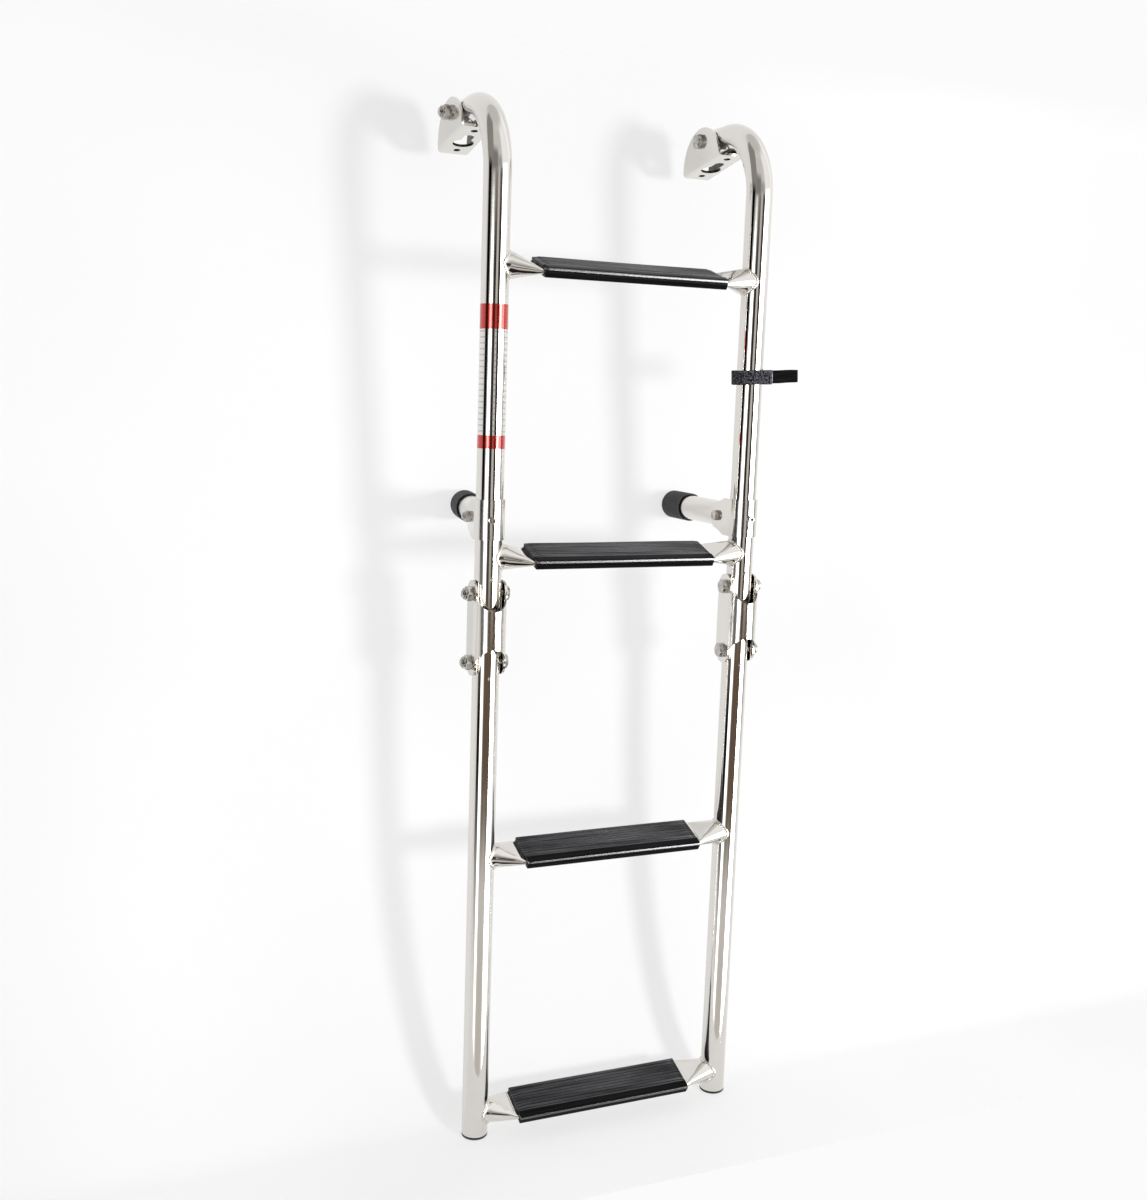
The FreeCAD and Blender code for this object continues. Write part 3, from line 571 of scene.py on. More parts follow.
def shared_material(name, colours):
    """A material made from its recipe the first time that it is asked for."""
    if name in bpy.data.materials:
        return bpy.data.materials[name]
    recipe = RECIPES[name]
    material, tree = new_material(name)
    noises = {}
    for key, (size, detail) in recipe["noises"].items():
        noises[key] = add(tree, "ShaderNodeTexNoise", {
            "Vector": place_of(tree, *size), "Scale": 1.0, "Detail": detail}).outputs[0]
    shade, *other = (
        code if code.startswith("#") else getattr(colours, code) for code in recipe["colours"])
    if other:
        amount = laid_out(tree, noises, recipe["mixed_by"])
        shade = add(tree, "ShaderNodeMix", {
            0: amount, 6: shade, 7: other[0]}, data_type="RGBA").outputs[2]
    rough = recipe["rough"]
    if not isinstance(rough, float):
        rough = laid_out(tree, noises, rough)
    normal = {}
    for key, strength, depth in recipe.get("bumps", ()):
        bump = add(tree, "ShaderNodeBump", {
            "Height": noises[key], "Strength": strength, "Distance": depth * MM, **normal})
        normal = {"Normal": bump.outputs[0]}
    shade_with(tree, {
        "Base Color": shade, "Roughness": rough, **recipe.get("inputs", {}), **normal})
    return material


def loop_tape(colours):
    """Nylon tape with a nap of fine loops about 0.5 mm across, drawn at 1.5 mm to show."""
    material, tree = new_material("nylon_loop_tape")
    spots = place_of(tree, 1.5, 1.5)
    loops = add(tree, "ShaderNodeTexVoronoi", {"Vector": spots, "Scale": 1.0, "Randomness": 1.0})
    fuzz = add(tree, "ShaderNodeTexNoise", {"Vector": spots, "Scale": 0.8, "Detail": 4.0})
    light = laid_out(tree, {"fuzz": fuzz.outputs[0]}, [("fuzz", 0.0, 1.0, 0.42, 0.62)])
    shade = add(tree, "ShaderNodeMix", {
        0: light, 6: "#0B0B0D", 7: colours.webbing}, data_type="RGBA")
    nap = add(tree, "ShaderNodeMath", {
        0: loops.outputs["Distance"], 1: fuzz.outputs[0]}, operation="ADD")
    dent = add(tree, "ShaderNodeBump", {
        "Height": nap.outputs[0], "Strength": 1.0, "Distance": 0.5 * MM})
    shade_with(tree, {
        "Base Color": shade.outputs[2], "Specular IOR Level": 0.12, "Roughness": 0.9,
        "Normal": dent.outputs[0]})
    return material


def label_film(colours, length):
    """Clear polyester film on the polished tube, printed with red bands and hairlines.

    The film lets the steel's mirror through, so the bare part keeps the steel's colour. The ink
    is a tinted layer that hardly covers it. The hairlines stand in columns round the rail, and
    distances run along the rail from the label's lower edge.
    """
    low_band, high_band = 12.0, 22.0
    half_pitch, half_line, line_cover = 2.6, 0.75, 0.45
    half_column, half_gap = 6.5, 1.2
    material, tree = new_material("printed_clear_polyester")
    place = add(tree, "ShaderNodeUVMap", uv_map="surface")
    parts = add(tree, "ShaderNodeSeparateXYZ", {0: place.outputs[0]})
    across, along = parts.outputs[0], parts.outputs[1]
    lower_band = add(tree, "ShaderNodeMath", {0: along, 1: low_band}, operation="LESS_THAN")
    upper_band = add(tree, "ShaderNodeMath", {
        0: along, 1: length - high_band}, operation="GREATER_THAN")
    bands = add(tree, "ShaderNodeMath", {
        0: lower_band.outputs[0], 1: upper_band.outputs[0]}, operation="MAXIMUM").outputs[0]
    ruled = add(tree, "ShaderNodeMath", {0: along, 1: half_pitch}, operation="PINGPONG")
    hairline = add(tree, "ShaderNodeMath", {
        0: ruled.outputs[0], 1: half_line}, operation="LESS_THAN")
    column = add(tree, "ShaderNodeMath", {0: across, 1: half_column}, operation="PINGPONG")
    inside = add(tree, "ShaderNodeMath", {
        0: column.outputs[0], 1: half_gap}, operation="GREATER_THAN")
    print_mask = add(tree, "ShaderNodeMath", {
        0: hairline.outputs[0], 1: inside.outputs[0]}, operation="MULTIPLY").outputs[0]
    lined = add(tree, "ShaderNodeMix", {
        0: print_mask, 6: colours.steel, 7: "#BDBCBE"}, data_type="RGBA")
    shade = add(tree, "ShaderNodeMix", {
        0: bands, 6: lined.outputs[2], 7: colours.ink}, data_type="RGBA")
    ink_share = add(tree, "ShaderNodeMath", {0: print_mask, 1: line_cover}, operation="MULTIPLY")
    cover = add(tree, "ShaderNodeMath", {0: bands, 1: ink_share.outputs[0]}, operation="MAXIMUM")
    metal = add(tree, "ShaderNodeMapRange", {
        "Value": cover.outputs[0], "To Min": 1.0, "To Max": 0.94})
    rough = add(tree, "ShaderNodeMapRange", {
        "Value": cover.outputs[0], "To Min": 0.06, "To Max": 0.16})
    shade_with(tree, {
        "Base Color": shade.outputs[2], "Metallic": metal.outputs[0],
        "Roughness": rough.outputs[0], "Coat Weight": 1.0, "Coat Roughness": 0.04})
    return material


# Pieces


def bent_path(x, y, low, radius, top):
    """Path of an upper rail: straight up, a quarter circle, then straight back over the deck.

    On the bend the centre is the circle's centre minus its radius times the cosine of the
    angle along Y and plus its radius times the sine along Z.
    """
    bend_start = top - radius - low
    bend_end = bend_start + radius * math.pi / 2

    def path(distance):
        angle = np.clip((distance - bend_start) / radius, 0, math.pi / 2)
        before = np.minimum(distance, bend_start)
        after = np.maximum(distance - bend_end, 0)
        centres = np.stack([
            np.full_like(distance, x),
            y + radius - radius * np.cos(angle) + after,
            low + before + radius * np.sin(angle)], -1)
        side = np.broadcast_to([1.0, 0.0, 0.0], centres.shape)
        up = np.stack([np.zeros_like(angle), np.cos(angle), -np.sin(angle)], -1)
        return centres, side, up
    return path, bend_start, bend_end


class LADDER_OT_rails(bpy.types.Operator):
    """Make the four rail tubes and the rivets beside their hinges"""

    bl_idname = "ladder.rails"
    bl_label = "Rails"

    def execute(self, context):
        sizes = context.scene.ladder_sizes
        colours = context.scene.ladder_colours
        steel = shared_material("buffed_304_tube", colours)
        rivet_steel = shared_material("tumbled_a2_bolts", colours)
        wall = sizes.tube_wall / MM
        rim = sizes.tube_rim / MM
        for side in SIDES:
            axis, radius = rail_of(side)
            self.make_upper(side, axis, radius, wall, rim, sizes.bend_radius / MM, steel)
            self.make_lower(side, axis, radius, wall, rim, steel)
            self.make_rivets(side, axis, radius, rivet_steel)
        return {"FINISHED"}

    def make_upper(self, side, axis, radius, wall, rim, bend, steel):
        """Bent tube from above the hinge to behind the bracket bolt."""
        low, high = node_box(f"{side}_upper_rail")
        path, bend_start, bend_end = bent_path(axis[0], axis[1], low[2], bend, high[2] - radius)
        length = bend_end + high[1] - (axis[1] + bend)
        from_end, from_bend = 10, 4
        stations = np.concatenate([
            np.linspace(from_end, bend_start - from_bend, 16),
            np.linspace(bend_start, bend_end, 49),
            np.linspace(bend_end + from_bend, length - from_bend, 5)]).tolist()
        outline = tube_outline(length, radius, radius - wall, rim, stations)
        skin = lathe(Skin(), outline, path, closed=True)
        skin.make(f"{side}_upper_rail_tube", "upper_frame", "polished_stainless", [steel],
                  [f"{side}_upper_rail"])

    def make_lower(self, side, axis, radius, wall, rim, steel):
        """Straight tube from the foot plug to the hinge."""
        low, high = node_box(f"{side}_lower_rail")
        length = high[2] - low[2]
        path = straight((axis[0], axis[1], low[2]), (0, 0, 1), (1, 0, 0))
        stations = np.linspace(10, length - 10, 16).tolist()
        outline = tube_outline(length, radius, radius - wall, rim, stations)
        skin = lathe(Skin(), outline, path, closed=True)
        skin.make(f"{side}_lower_rail_tube", "lower_frame", "polished_stainless", [steel],
                  [f"{side}_lower_rail"])

    def make_rivets(self, side, axis, radius, steel):
        """Domed rivet on each rail's front, 14 mm beyond the hinge bolt.

        The dome is a quarter circle over a low rim, pressed to 55 percent of its height.
        """
        beyond, bury = 14.0, 0.6
        size, rim, pressed = 2.1, 0.35, 0.55
        dome = np.array(arc((0, 0), size, 90, 0, 7)) * (pressed, 1) + (rim, 0)
        outline = [[0.0, 0.0], [0.0, size], [rim, size]] + dome.tolist()
        for level, body, way in (("upper", "upper_frame", 1), ("lower", "lower_frame", -1)):
            low, high = node_box(f"{side}_{level}_hinge_bolt")
            height = (low[2] + high[2]) / 2 + way * beyond
            foot = axis + (0, -radius + bury, height)
            skin = lathe(Skin(), outline, straight(foot, (0, -1, 0), (1, 0, 0)), columns=32)
            skin.make(f"{side}_{level}_rivet", body, "bolt_steel", [steel])


def step_section(x, reach, radius, sizes, inset):
    """Points across a step tube at a distance from the left rail's axis, in the step's own plane.

    The pressed tube has a half circle at its front and back and flats between them. The half
    circles' radius falls in a straight line from the round tube's to half the flat height,
    and their centres part as the tube spreads.
    """
    taper = sizes.step_taper / MM
    land = reach + sizes.step_round / MM
    press = np.clip((x - land) / (taper - land), 0, 1)
    thick = radius + (sizes.flat_height / MM / 2 - radius) * press
    half_width = radius + (sizes.flat_width / MM / 2 - radius) * press
    shift = (half_width - thick)[:, None]
    thick = (thick - inset)[:, None]
    front = np.radians(np.linspace(90, 270, 33))
    back = np.radians(np.linspace(-90, 90, 33))
    flat = np.linspace(-1, 1, 10)[1:-1]
    ones = np.ones_like(flat)
    depth = np.concatenate([
        -shift + thick * np.cos(front), shift * flat,
        shift + thick * np.cos(back), -shift * flat], 1)
    height = np.concatenate([
        thick * np.sin(front), -thick * ones, thick * np.sin(back), thick * ones], 1)
    return depth, height


class LADDER_OT_steps(bpy.types.Operator):
    """Make the four step tubes, round at the rails and pressed flat under the treads"""

    bl_idname = "ladder.steps"
    bl_label = "Step Tubes"

    def execute(self, context):
        sizes = context.scene.ladder_sizes
        steel = shared_material("buffed_304_tube", context.scene.ladder_colours)
        left, reach = rail_of("left")
        right, _ = rail_of("right")
        for step in STEPS:
            self.make_step(step, left, right[0] - left[0], reach, sizes, steel)
        return {"FINISHED"}

    def make_step(self, step, left, spacing, reach, sizes, steel):
        """Closed wall of a step tube, its ends cut to the rails' rounds.

        A row holds one distance along the tube. Its points near a rail are moved so that they
        end just inside the rail's outside: the square root of its radius squared less the
        point's own depth squared. The move fades out where the tube is pressed.
        """
        wall, bury = 1.2, 0.5
        past_land, fade_run = 14, 18
        low, high = node_box(f"{step}_step_tube")
        radius = (high[2] - low[2]) / 2
        lean = sizes.step_lean
        half = np.concatenate([
            np.linspace(0, 1, 5), np.linspace(1, 2, 14)[1:], np.linspace(2, 3, 6)[1:]])
        land = reach + sizes.step_round / MM
        marks = np.interp(half, [0, 1, 2, 3], [reach, land, sizes.step_taper / MM, spacing / 2])
        places = np.concatenate([marks, (spacing - marks)[::-1][1:]])
        fade = np.clip((land + past_land - places) / fade_run, 0, 1)[:, None]
        fade = fade - np.clip((land + past_land - spacing + places) / fade_run, 0, 1)[:, None]
        walls = []
        for inset in (0.0, wall):
            depth, height = step_section(
                np.minimum(places, spacing - places), reach, radius, sizes, inset)
            y = depth * math.cos(lean) - height * math.sin(lean)
            z = depth * math.sin(lean) + height * math.cos(lean)
            round_cut = np.sqrt((reach - bury) ** 2 - np.minimum(np.abs(y), radius) ** 2)
            cope = reach - bury - round_cut
            x = places[:, None] - fade * (cope + bury)
            walls.append(np.stack([x + left[0], y + left[1], z + (low[2] + high[2]) / 2], -1))
        points = np.concatenate([walls[0], walls[1][::-1]])
        run = np.concatenate([places, places[::-1], places[:1]])
        across = np.linspace(0, 2 * math.pi * radius, points.shape[1] + 1)
        skin = Skin().grid(points, row_loop=True, across=across, along=run)
        skin.make(f"{step}_step_bar", step_body(step), "polished_stainless", [steel],
                  [f"{step}_step_tube"], smooth=math.radians(50))


def weld_bead(rail_centre, rail_radius, way, radius, size, pitch):
    """Rippled bead along the line where a step tube meets a rail.

    The line's points are the tube's circle, pushed out to the rail's round. The bead's section
    is an ellipse about that line, wide across the corner. Its size swells and falls once for
    each ripple, and the swell lags towards one side, as coins lie on each other. Two slow waves
    make it a little uneven.
    """
    tall, wide = 0.78, 1.15
    coin, settled, lag = 0.13, 0.06, 1.1
    ripples = round(2 * math.pi * radius / pitch)
    angle = turns(ripples * 6)
    depth = radius * np.cos(angle)
    out = np.sqrt(rail_radius ** 2 - depth ** 2)
    line = np.stack([way * out, depth, radius * np.sin(angle)], -1)
    rail_normal = unit(np.stack([way * out, depth, np.zeros_like(angle)], -1))
    tube_normal = np.stack([np.zeros_like(angle), np.cos(angle), np.sin(angle)], -1)
    outward = unit(rail_normal + tube_normal)
    along = unit(np.roll(line, -1, 0) - np.roll(line, 1, 0))
    sideways = np.cross(along, outward)
    turn = turns(16)[None, :]
    ripple = (angle[:, None] * ripples + lag * np.cos(turn)) / 2
    swell = 1 + coin * np.abs(np.sin(ripple)) - settled
    wander = 1 + 0.06 * np.sin(3 * angle + 1)[:, None] + 0.04 * np.sin(7 * angle)[:, None]
    reach = size * swell * wander
    points = (
        line[:, None, :] + (reach * np.cos(turn) * tall)[..., None] * outward[:, None, :]
        + (reach * np.sin(turn) * wide)[..., None] * sideways[:, None, :])
    return points + rail_centre


class LADDER_OT_welds(bpy.types.Operator):
    """Make the weld beads between the steps and the rails"""

    bl_idname = "ladder.welds"
    bl_label = "Welds"

    def execute(self, context):
        sizes = context.scene.ladder_sizes
        steel = shared_material("pickled_weld_bead", context.scene.ladder_colours)
        for step in STEPS:
            low, high = node_box(f"{step}_step_tube")
            for side, way in (("left", 1), ("right", -1)):
                axis, reach = rail_of(side)
                centre = axis + (0, 0, (low[2] + high[2]) / 2)
                radius = (high[2] - low[2]) / 2
                points = weld_bead(
                    centre, reach, way, radius, sizes.weld_size / MM, sizes.weld_pitch / MM)
                skin = Skin().grid(points, row_loop=True)
                skin.make(f"{step}_{side}_weld", step_body(step), "polished_stainless", [steel])
        return {"FINISHED"}


def tread_outline(front, back, top, bottom, tips, sizes, middle):
    """Outer outline across a tread, from the front lip's tip over the top to the back lip's tip.

    The plain front slopes down from the ribs to a round nose, with a notch between it and the
    lip below, which draws in a little towards its foot. Each groove is a flat-bottomed valley
    with rounded shoulders, and a finer line runs down the middle of each land. Also returns
    each point's plastic: ribbed top, plain front and lips, nose, or inside a groove.
    """
    pitch = sizes.rib_pitch / MM
    deep = sizes.rib_depth / MM
    count = sizes.rib_count
    lip, heel = 1.6, 2.6
    nose, nose_height, nose_top, shoulder = 4.0, 7.25, 142, 0.6
    rubbed_low, rubbed_high = 7.5, 9.4
    front_lip = [[tips[0], bottom]] + arc((front + 1.7 + lip, bottom + lip), lip, 270, 186, 6)
    front_lip += [
        [front + 0.6, bottom + 5.6], [front + 0.7, bottom + 6.0], [front + 1.3, bottom + 6.2],
        [front + 1.4, bottom + 6.5], [front + 0.6, bottom + 6.75]]
    nose_edge = arc((front + nose, bottom + nose_height), nose, 186, nose_top, 14)
    turned = math.radians(nose_top)
    centre = np.array(nose_edge[-1]) - shoulder * np.array([math.cos(turned), math.sin(turned)])
    nose_edge += arc(centre, shoulder, 134, 98, 5)
    slope = [[front + 4.4, top - 0.32], [front + 7.2, top - 0.1], [front + 8.4, top]]
    valley = np.array([
        [-0.78, 0], [-0.68, -0.06], [-0.6, -0.2], [-0.5, -0.8], [-0.38, -0.97], [-0.2, -1],
        [0.2, -1], [0.38, -0.97], [0.5, -0.8], [0.6, -0.2], [0.68, -0.06], [0.78, 0]]) * (1, deep)
    line = np.array([[-0.26, 0], [-0.12, -0.26], [0.12, -0.26], [0.26, 0]])
    ribs = []
    for number in range(count):
        centre = middle + (number - (count - 1) / 2) * pitch
        ribs += (valley + (centre, top)).tolist()
        if number < count - 1:
            ribs += (line + (centre + pitch / 2, top)).tolist()
    back_edge = arc((back - heel, top - heel), heel, 90, 0, 8)
    back_edge += arc((back - lip - 0.6, bottom + lip), lip, 0, -90, 6) + [[tips[1], bottom]]
    points = np.array(front_lip + nose_edge + slope + ribs + back_edge)
    slope_from = len(front_lip) + len(nose_edge)
    ribs_from = slope_from + len(slope)
    ribs_end = ribs_from + len(ribs)
    height = points[:, 1] - bottom
    rubbed = (height > rubbed_low) & (height < rubbed_high)
    rubbed[slope_from:] = False
    kinds = np.full(len(points), PLAIN)
    kinds[rubbed] = NOSE
    kinds[ribs_from:] = RIBBED
    # Points inside a groove get the near-black plastic that paints the grooves' shade.
    kinds[ribs_from:ribs_end][points[ribs_from:ribs_end, 1] < top - 0.3] = GROOVE
    return points, kinds


def resample(line, shares):
    """Points at given shares of a line's length."""
    run = run_along(line)
    run /= run[-1]
    return np.stack([np.interp(shares, run, line[:, axis]) for axis in (0, 1)], -1)


def tread_rows(left, right, rim, rim_sink):
    """X of each row along a tread, and how far its outside has sunk to the seat there.

    The outside runs to the right, sinks in a quarter circle and closes on the seat, which
    brings it back to the left end, where it does the same. The rows are closer near the ends,
    where the ribs stop.
    """
    from_end = 12
    quarter = np.radians(np.linspace(0, 90, 5))
    trim = np.array([0, 2.0, 3.6, 4.2, 4.6])
    inside = right - left - 2 * rim
    middle = np.linspace(from_end, inside - from_end, 14)
    x_out = left + rim + np.concatenate([trim, middle, inside - trim[::-1]])
    x_right = right - rim + rim * np.sin(quarter)
    x_left = left + rim - rim * np.sin(quarter)
    sink = rim_sink * (1 - np.cos(quarter))
    x = np.concatenate([x_out, x_right[1:], [right, left], x_left[::-1][:-1]])
    share = np.concatenate([np.zeros_like(x_out), sink[1:], [1, 1], sink[::-1][:-1]])
    return x, share


class LADDER_OT_treads(bpy.types.Operator):
    """Make the four ribbed treads that clip round the step tubes"""

    bl_idname = "ladder.treads"
    bl_label = "Treads"

    def execute(self, context):
        sizes = context.scene.ladder_sizes
        colours = context.scene.ladder_colours
        # The ribbed top's grey streaks are partly painted sheen, and the grooves' near black is
        # painted shade.
        plastics = [shared_material(f"{kind}_black_pvc", colours) for kind in (
            "scuffed", "plain", "rubbed", "unworn")]
        for number, step in enumerate(STEPS):
            self.make_tread(step, number, sizes, plastics)
        return {"FINISHED"}

    def make_tread(self, step, number, sizes, plastics):
        """Carry the tread's C along the step: out along the outside, back along the seat.

        Both lips' tips are closed by a column where outside and seat meet. Each end sinks in a
        quarter circle and closes. The ribs stop short of the ends, where the top is trimmed a
        little lower. The extrusion is never quite straight: its top lies a little high or low
        in a slow wave.
        """
        front, back, top, bottom, middle = -22.8, 18.2, 6.2, -4.3, 0.6
        tips, tip_round = (-11.3, 6.7), (0.5, 0)
        seat_half_width, seat_spare, seat_from, seat_to = 17.7, 0.2, 230, -67
        rim, rim_sink = 0.7, 0.16
        bow, bow_length, bow_shift = 0.15, 31, 1.7
        trim_end, trim_fade, trim_drop, trim_slope = 5.3, 0.5, 0.45, 0.12
        low, high = node_box(f"{step}_step_tread")
        axis = step_axis(step)
        axis[1] = rail_of("left")[0][1]
        lean = sizes.step_lean
        seat_half_height = sizes.flat_height / MM / 2 + seat_spare
        outer, kinds = tread_outline(front, back, top, bottom, tips, sizes, middle)
        seat_angle = np.radians(np.linspace(seat_from, seat_to, 80))
        seat = np.stack([
            seat_half_width * np.cos(seat_angle), seat_half_height * np.sin(seat_angle)], -1)
        run = run_along(outer)
        inner = resample(seat, run / run[-1])
        tip_front = (outer[0] + inner[0]) / 2 + tip_round
        tip_back = (outer[-1] + inner[-1]) / 2 - tip_round
        outer = np.concatenate([[tip_front], outer, [tip_back]])
        inner = np.concatenate([[tip_front], inner, [tip_back]])
        kinds = np.concatenate([[PLAIN], kinds, [PLAIN]])
        ribbed = (kinds == RIBBED) | (kinds == GROOVE)

        x, share = tread_rows(low[0], high[0], rim, rim_sink)
        section = outer[None] * (1 - share[:, None, None]) + inner[None] * share[:, None, None]

        outside = share < 0.5
        upper = section[..., 1] > 0
        wave = bow * np.sin(x / bow_length + number * bow_shift) * outside
        depth = section[..., 0]
        height = section[..., 1] + wave[:, None] * upper
        from_end = np.minimum(x - low[0], high[0] - x)
        trimmed = np.clip((trim_end - from_end) / trim_fade, 0, 1) * outside
        trimmed = trimmed[:, None] * ribbed[None, :]
        trimmed_height = top - trim_drop - trim_slope * np.clip(trim_end - from_end, 0, 5)
        lowered = height * (1 - trimmed) + trimmed_height[:, None] * trimmed
        height = np.where(upper & ribbed[None, :], np.minimum(height, lowered), height)
        points = np.stack([
            np.repeat(x[:, None], depth.shape[1], 1),
            axis[1] + depth * math.cos(lean) - height * math.sin(lean),
            axis[2] + depth * math.sin(lean) + height * math.cos(lean)], -1)
        along = np.append(x, x[0])
        across = np.concatenate([[0], run + 1, [run[-1] + 2, run[-1] + 3]])
        skin = Skin().grid(
            points, row_loop=True, column_loop=False, across=across, along=along, ink=kinds[1:])
        skin.make(f"{step}_ribbed_tread", step_body(step), "black_tread_plastic", plastics,
                  [f"{step}_step_tread"], smooth=math.radians(40))


class LADDER_OT_sheet_metal(bpy.types.Operator):
    """Break the edges of the brackets, hinge links and clamps"""

    bl_idname = "ladder.sheet_metal"
    bl_label = "Sheet Metal"

    def execute(self, context):
        sizes = context.scene.ladder_sizes
        colours = context.scene.ladder_colours
        steels = [shared_material(f"{kind}_304_sheet", colours) for kind in (
            "wheel_polished", "rolled")]
        for side in SIDES:
            for node, body in (
                    (f"{side}_deck_bracket", "deck_brackets"),
                    (f"{side}_hinge_link", "hinge_links"),
                    (f"{side}_standoff_clamp", f"{side}_standoff")):
                # Only the brackets get painted shade: darker steel on the faces inside their
                # folds.
                dull_inside = node.endswith("bracket")
                self.soften(node, body, sizes.edge_break, steels if dull_inside else steels[:1])
        return {"FINISHED"}

    def lies_inside(self, tree, face):
        """Whether a face looks at its own sheet, straight on or 60 degrees aside."""
        off_face, reach = 0.2 * MM, 45 * MM
        aside = face.calc_tangent_edge()
        across = face.normal.cross(aside)
        start = face.calc_center_median_weighted() + face.normal * off_face
        for turn in (Vector(), aside, -aside, across, -across):
            way = (face.normal + turn * math.tan(math.radians(60))).normalized()
            if tree.ray_cast(start, way, reach)[0] is not None:
                return True
        return False

    def soften(self, node, body, width, steels):
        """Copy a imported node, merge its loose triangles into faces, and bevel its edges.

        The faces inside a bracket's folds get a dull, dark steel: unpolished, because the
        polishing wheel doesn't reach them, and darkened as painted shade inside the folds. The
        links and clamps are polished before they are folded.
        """
        mesh = frame["nodes"][node].data.copy()
        mesh.name = node + "_sheet"
        shape = bmesh.new()
        shape.from_mesh(mesh)
        bmesh.ops.remove_doubles(shape, verts=shape.verts, dist=MERGE)
        bmesh.ops.dissolve_limit(
            shape, angle_limit=math.radians(0.5), verts=shape.verts, edges=shape.edges)
        shape.normal_update()
        tree = BVHTree.FromBMesh(shape)
        # Faces that look at their own sheet get the dark steel that paints the shade in the folds.
        for face in shape.faces:
            face.material_index = int(len(steels) > 1 and self.lies_inside(tree, face))
        mesh.materials.clear()
        for steel in steels:
            mesh.materials.append(steel)
        shape.to_mesh(mesh)
        shape.free()
        mesh.shade_smooth()
        mesh.set_sharp_from_angle(angle=SMOOTH_UNDER)
        piece = put(mesh, node + "_sheet", body, [node])
        bevel = piece.modifiers.new("broken_edges", "BEVEL")
        bevel.width = width
        bevel.segments = 2
        bevel.limit_method = "ANGLE"
        bevel.angle_limit = math.radians(40)
        bevel.harden_normals = True


def fastener(skin, path, grip, tail, bolt_radius, flats, head, nut, columns=60):
    """Hexagon bolt with its lock nut and the nut's nylon ring.

    Distances run from the head's outer face. The chamfers come from the outline's own radius,
    which is smaller than the hexagon's at both ends of the head and the nut.
    """
    corner = flats / math.sqrt(3)
    face = flats * 0.47
    cut = 0.17 * head
    seat = head + grip
    end = seat + nut + tail
    outline = [
        [0.25, 0], [0.25, face * 0.62], [0, face * 0.7], [0, face], [cut, corner],
        [head - 0.3, corner], [head - 0.3, face], [head, face], [head, bolt_radius],
        [end - 0.8, bolt_radius], [end, bolt_radius - 0.8], [end, 0]]
    lathe(skin, outline, path, flats=[flats] * len(outline), columns=columns)
    collar = face * 0.93
    nut_outline = [
        [seat, bolt_radius], [seat, face], [seat + cut, corner], [seat + nut * 0.62, corner],
        [seat + nut * 0.7, face], [seat + nut * 0.74, collar], [seat + nut * 0.93, collar * 0.97],
        [seat + nut, collar * 0.86], [seat + nut, collar * 0.78],
        [seat + nut * 0.9, collar * 0.76], [seat + nut * 0.9, bolt_radius]]
    lathe(skin, nut_outline, path, closed=True, flats=[flats] * len(nut_outline), columns=columns)
    ring = [
        [seat + nut * 0.86, bolt_radius - 0.1], [seat + nut * 0.86, collar * 0.8],
        [seat + nut * 0.95, collar * 0.79], [seat + nut * 0.95, bolt_radius - 0.1]]
    lathe(skin, ring, path, closed=True, columns=columns, ink=1)


class LADDER_OT_bolts(bpy.types.Operator):
    """Make the bolts with their lock nuts and the clamps' set screws"""

    bl_idname = "ladder.bolts"
    bl_label = "Bolts"

    def execute(self, context):
        colours = context.scene.ladder_colours
        materials = [shared_material(name, colours) for name in (
            "tumbled_a2_bolts", "natural_nylon_66")]
        for side in SIDES:
            for node, body in (
                    ("bracket_bolt", "deck_brackets"), ("upper_hinge_bolt", "hinge_links"),
                    ("lower_hinge_bolt", "hinge_links")):
                self.make_bolt(f"{side}_{node}", body, side, (0, 0), M8_BOLT, materials)
            _, arm = cap_mount(side)
            self.make_bolt(
                f"{side}_standoff_bolt", f"{side}_standoff", side, arm[:2], M6_BOLT, materials)
            self.make_screw(side, arm, materials)
        return {"FINISHED"}

    def make_bolt(self, node, body, side, toe, bolt, materials):
        """Bolt with its head towards the other rail, along the turned direction of its clamp.

        The box of a turned bolt is wider than the bolt by its hexagon's share.
        """
        tail = 1.5
        low, high = node_box(node)
        centre = (low + high) / 2
        way = -1 if side == "left" else 1
        angle = -math.atan2(*toe)
        direction = way * np.array([math.cos(angle), math.sin(angle), 0.0])
        hexagon_share = bolt["flats"] / math.sqrt(3) * abs(math.sin(angle)) * 2
        length = (high[0] - low[0] - hexagon_share) / math.cos(angle)
        path = straight(centre - direction * length / 2, direction, (0, 0, 1))
        skin = Skin()
        fastener(skin, path, length - bolt["head"] - bolt["nut"] - tail, tail, **bolt)
        skin.make(node + "_set", body, "bolt_steel", materials, [node])

    def make_screw(self, side, direction, materials):
        """Set screw with a hexagon socket, pointing forward out of the clamp."""
        reach, sunk = 19.5, 0.3
        thread, socket, deep, no_flats = 3.0, 3.0, 2.6, 9.0
        axis, radius = rail_of(side)
        low, high = node_box(f"{side}_standoff_screw")
        height = (low[2] + high[2]) / 2
        start = axis - np.array(direction) * reach + (0, 0, height)
        length = reach - radius - sunk
        outline = [
            [deep, 0], [deep, thread], [0.1, thread], [0.0, 2.2], [0.0, 2.5], [0.5, thread],
            [length, thread], [length, 0]]
        flats = [socket] * 3 + [no_flats] * 5
        path = straight(start, direction, (0, 0, 1))
        skin = lathe(Skin(), outline, path, flats=flats, columns=48)
        skin.make(f"{side}_set_screw", f"{side}_standoff", "bolt_steel", materials[:1],
                  [f"{side}_standoff_screw"])


def cap_mount(side):
    """Centre of a standoff cap's face in millimetres, and the arm's direction."""
    for mount in frame["record"]["mounts"]:
        if mount["name"] == f"{side}_cap_face":
            return np.array(mount["pos_m"]) / MM, np.array(mount["axis"])
    raise ValueError(side)


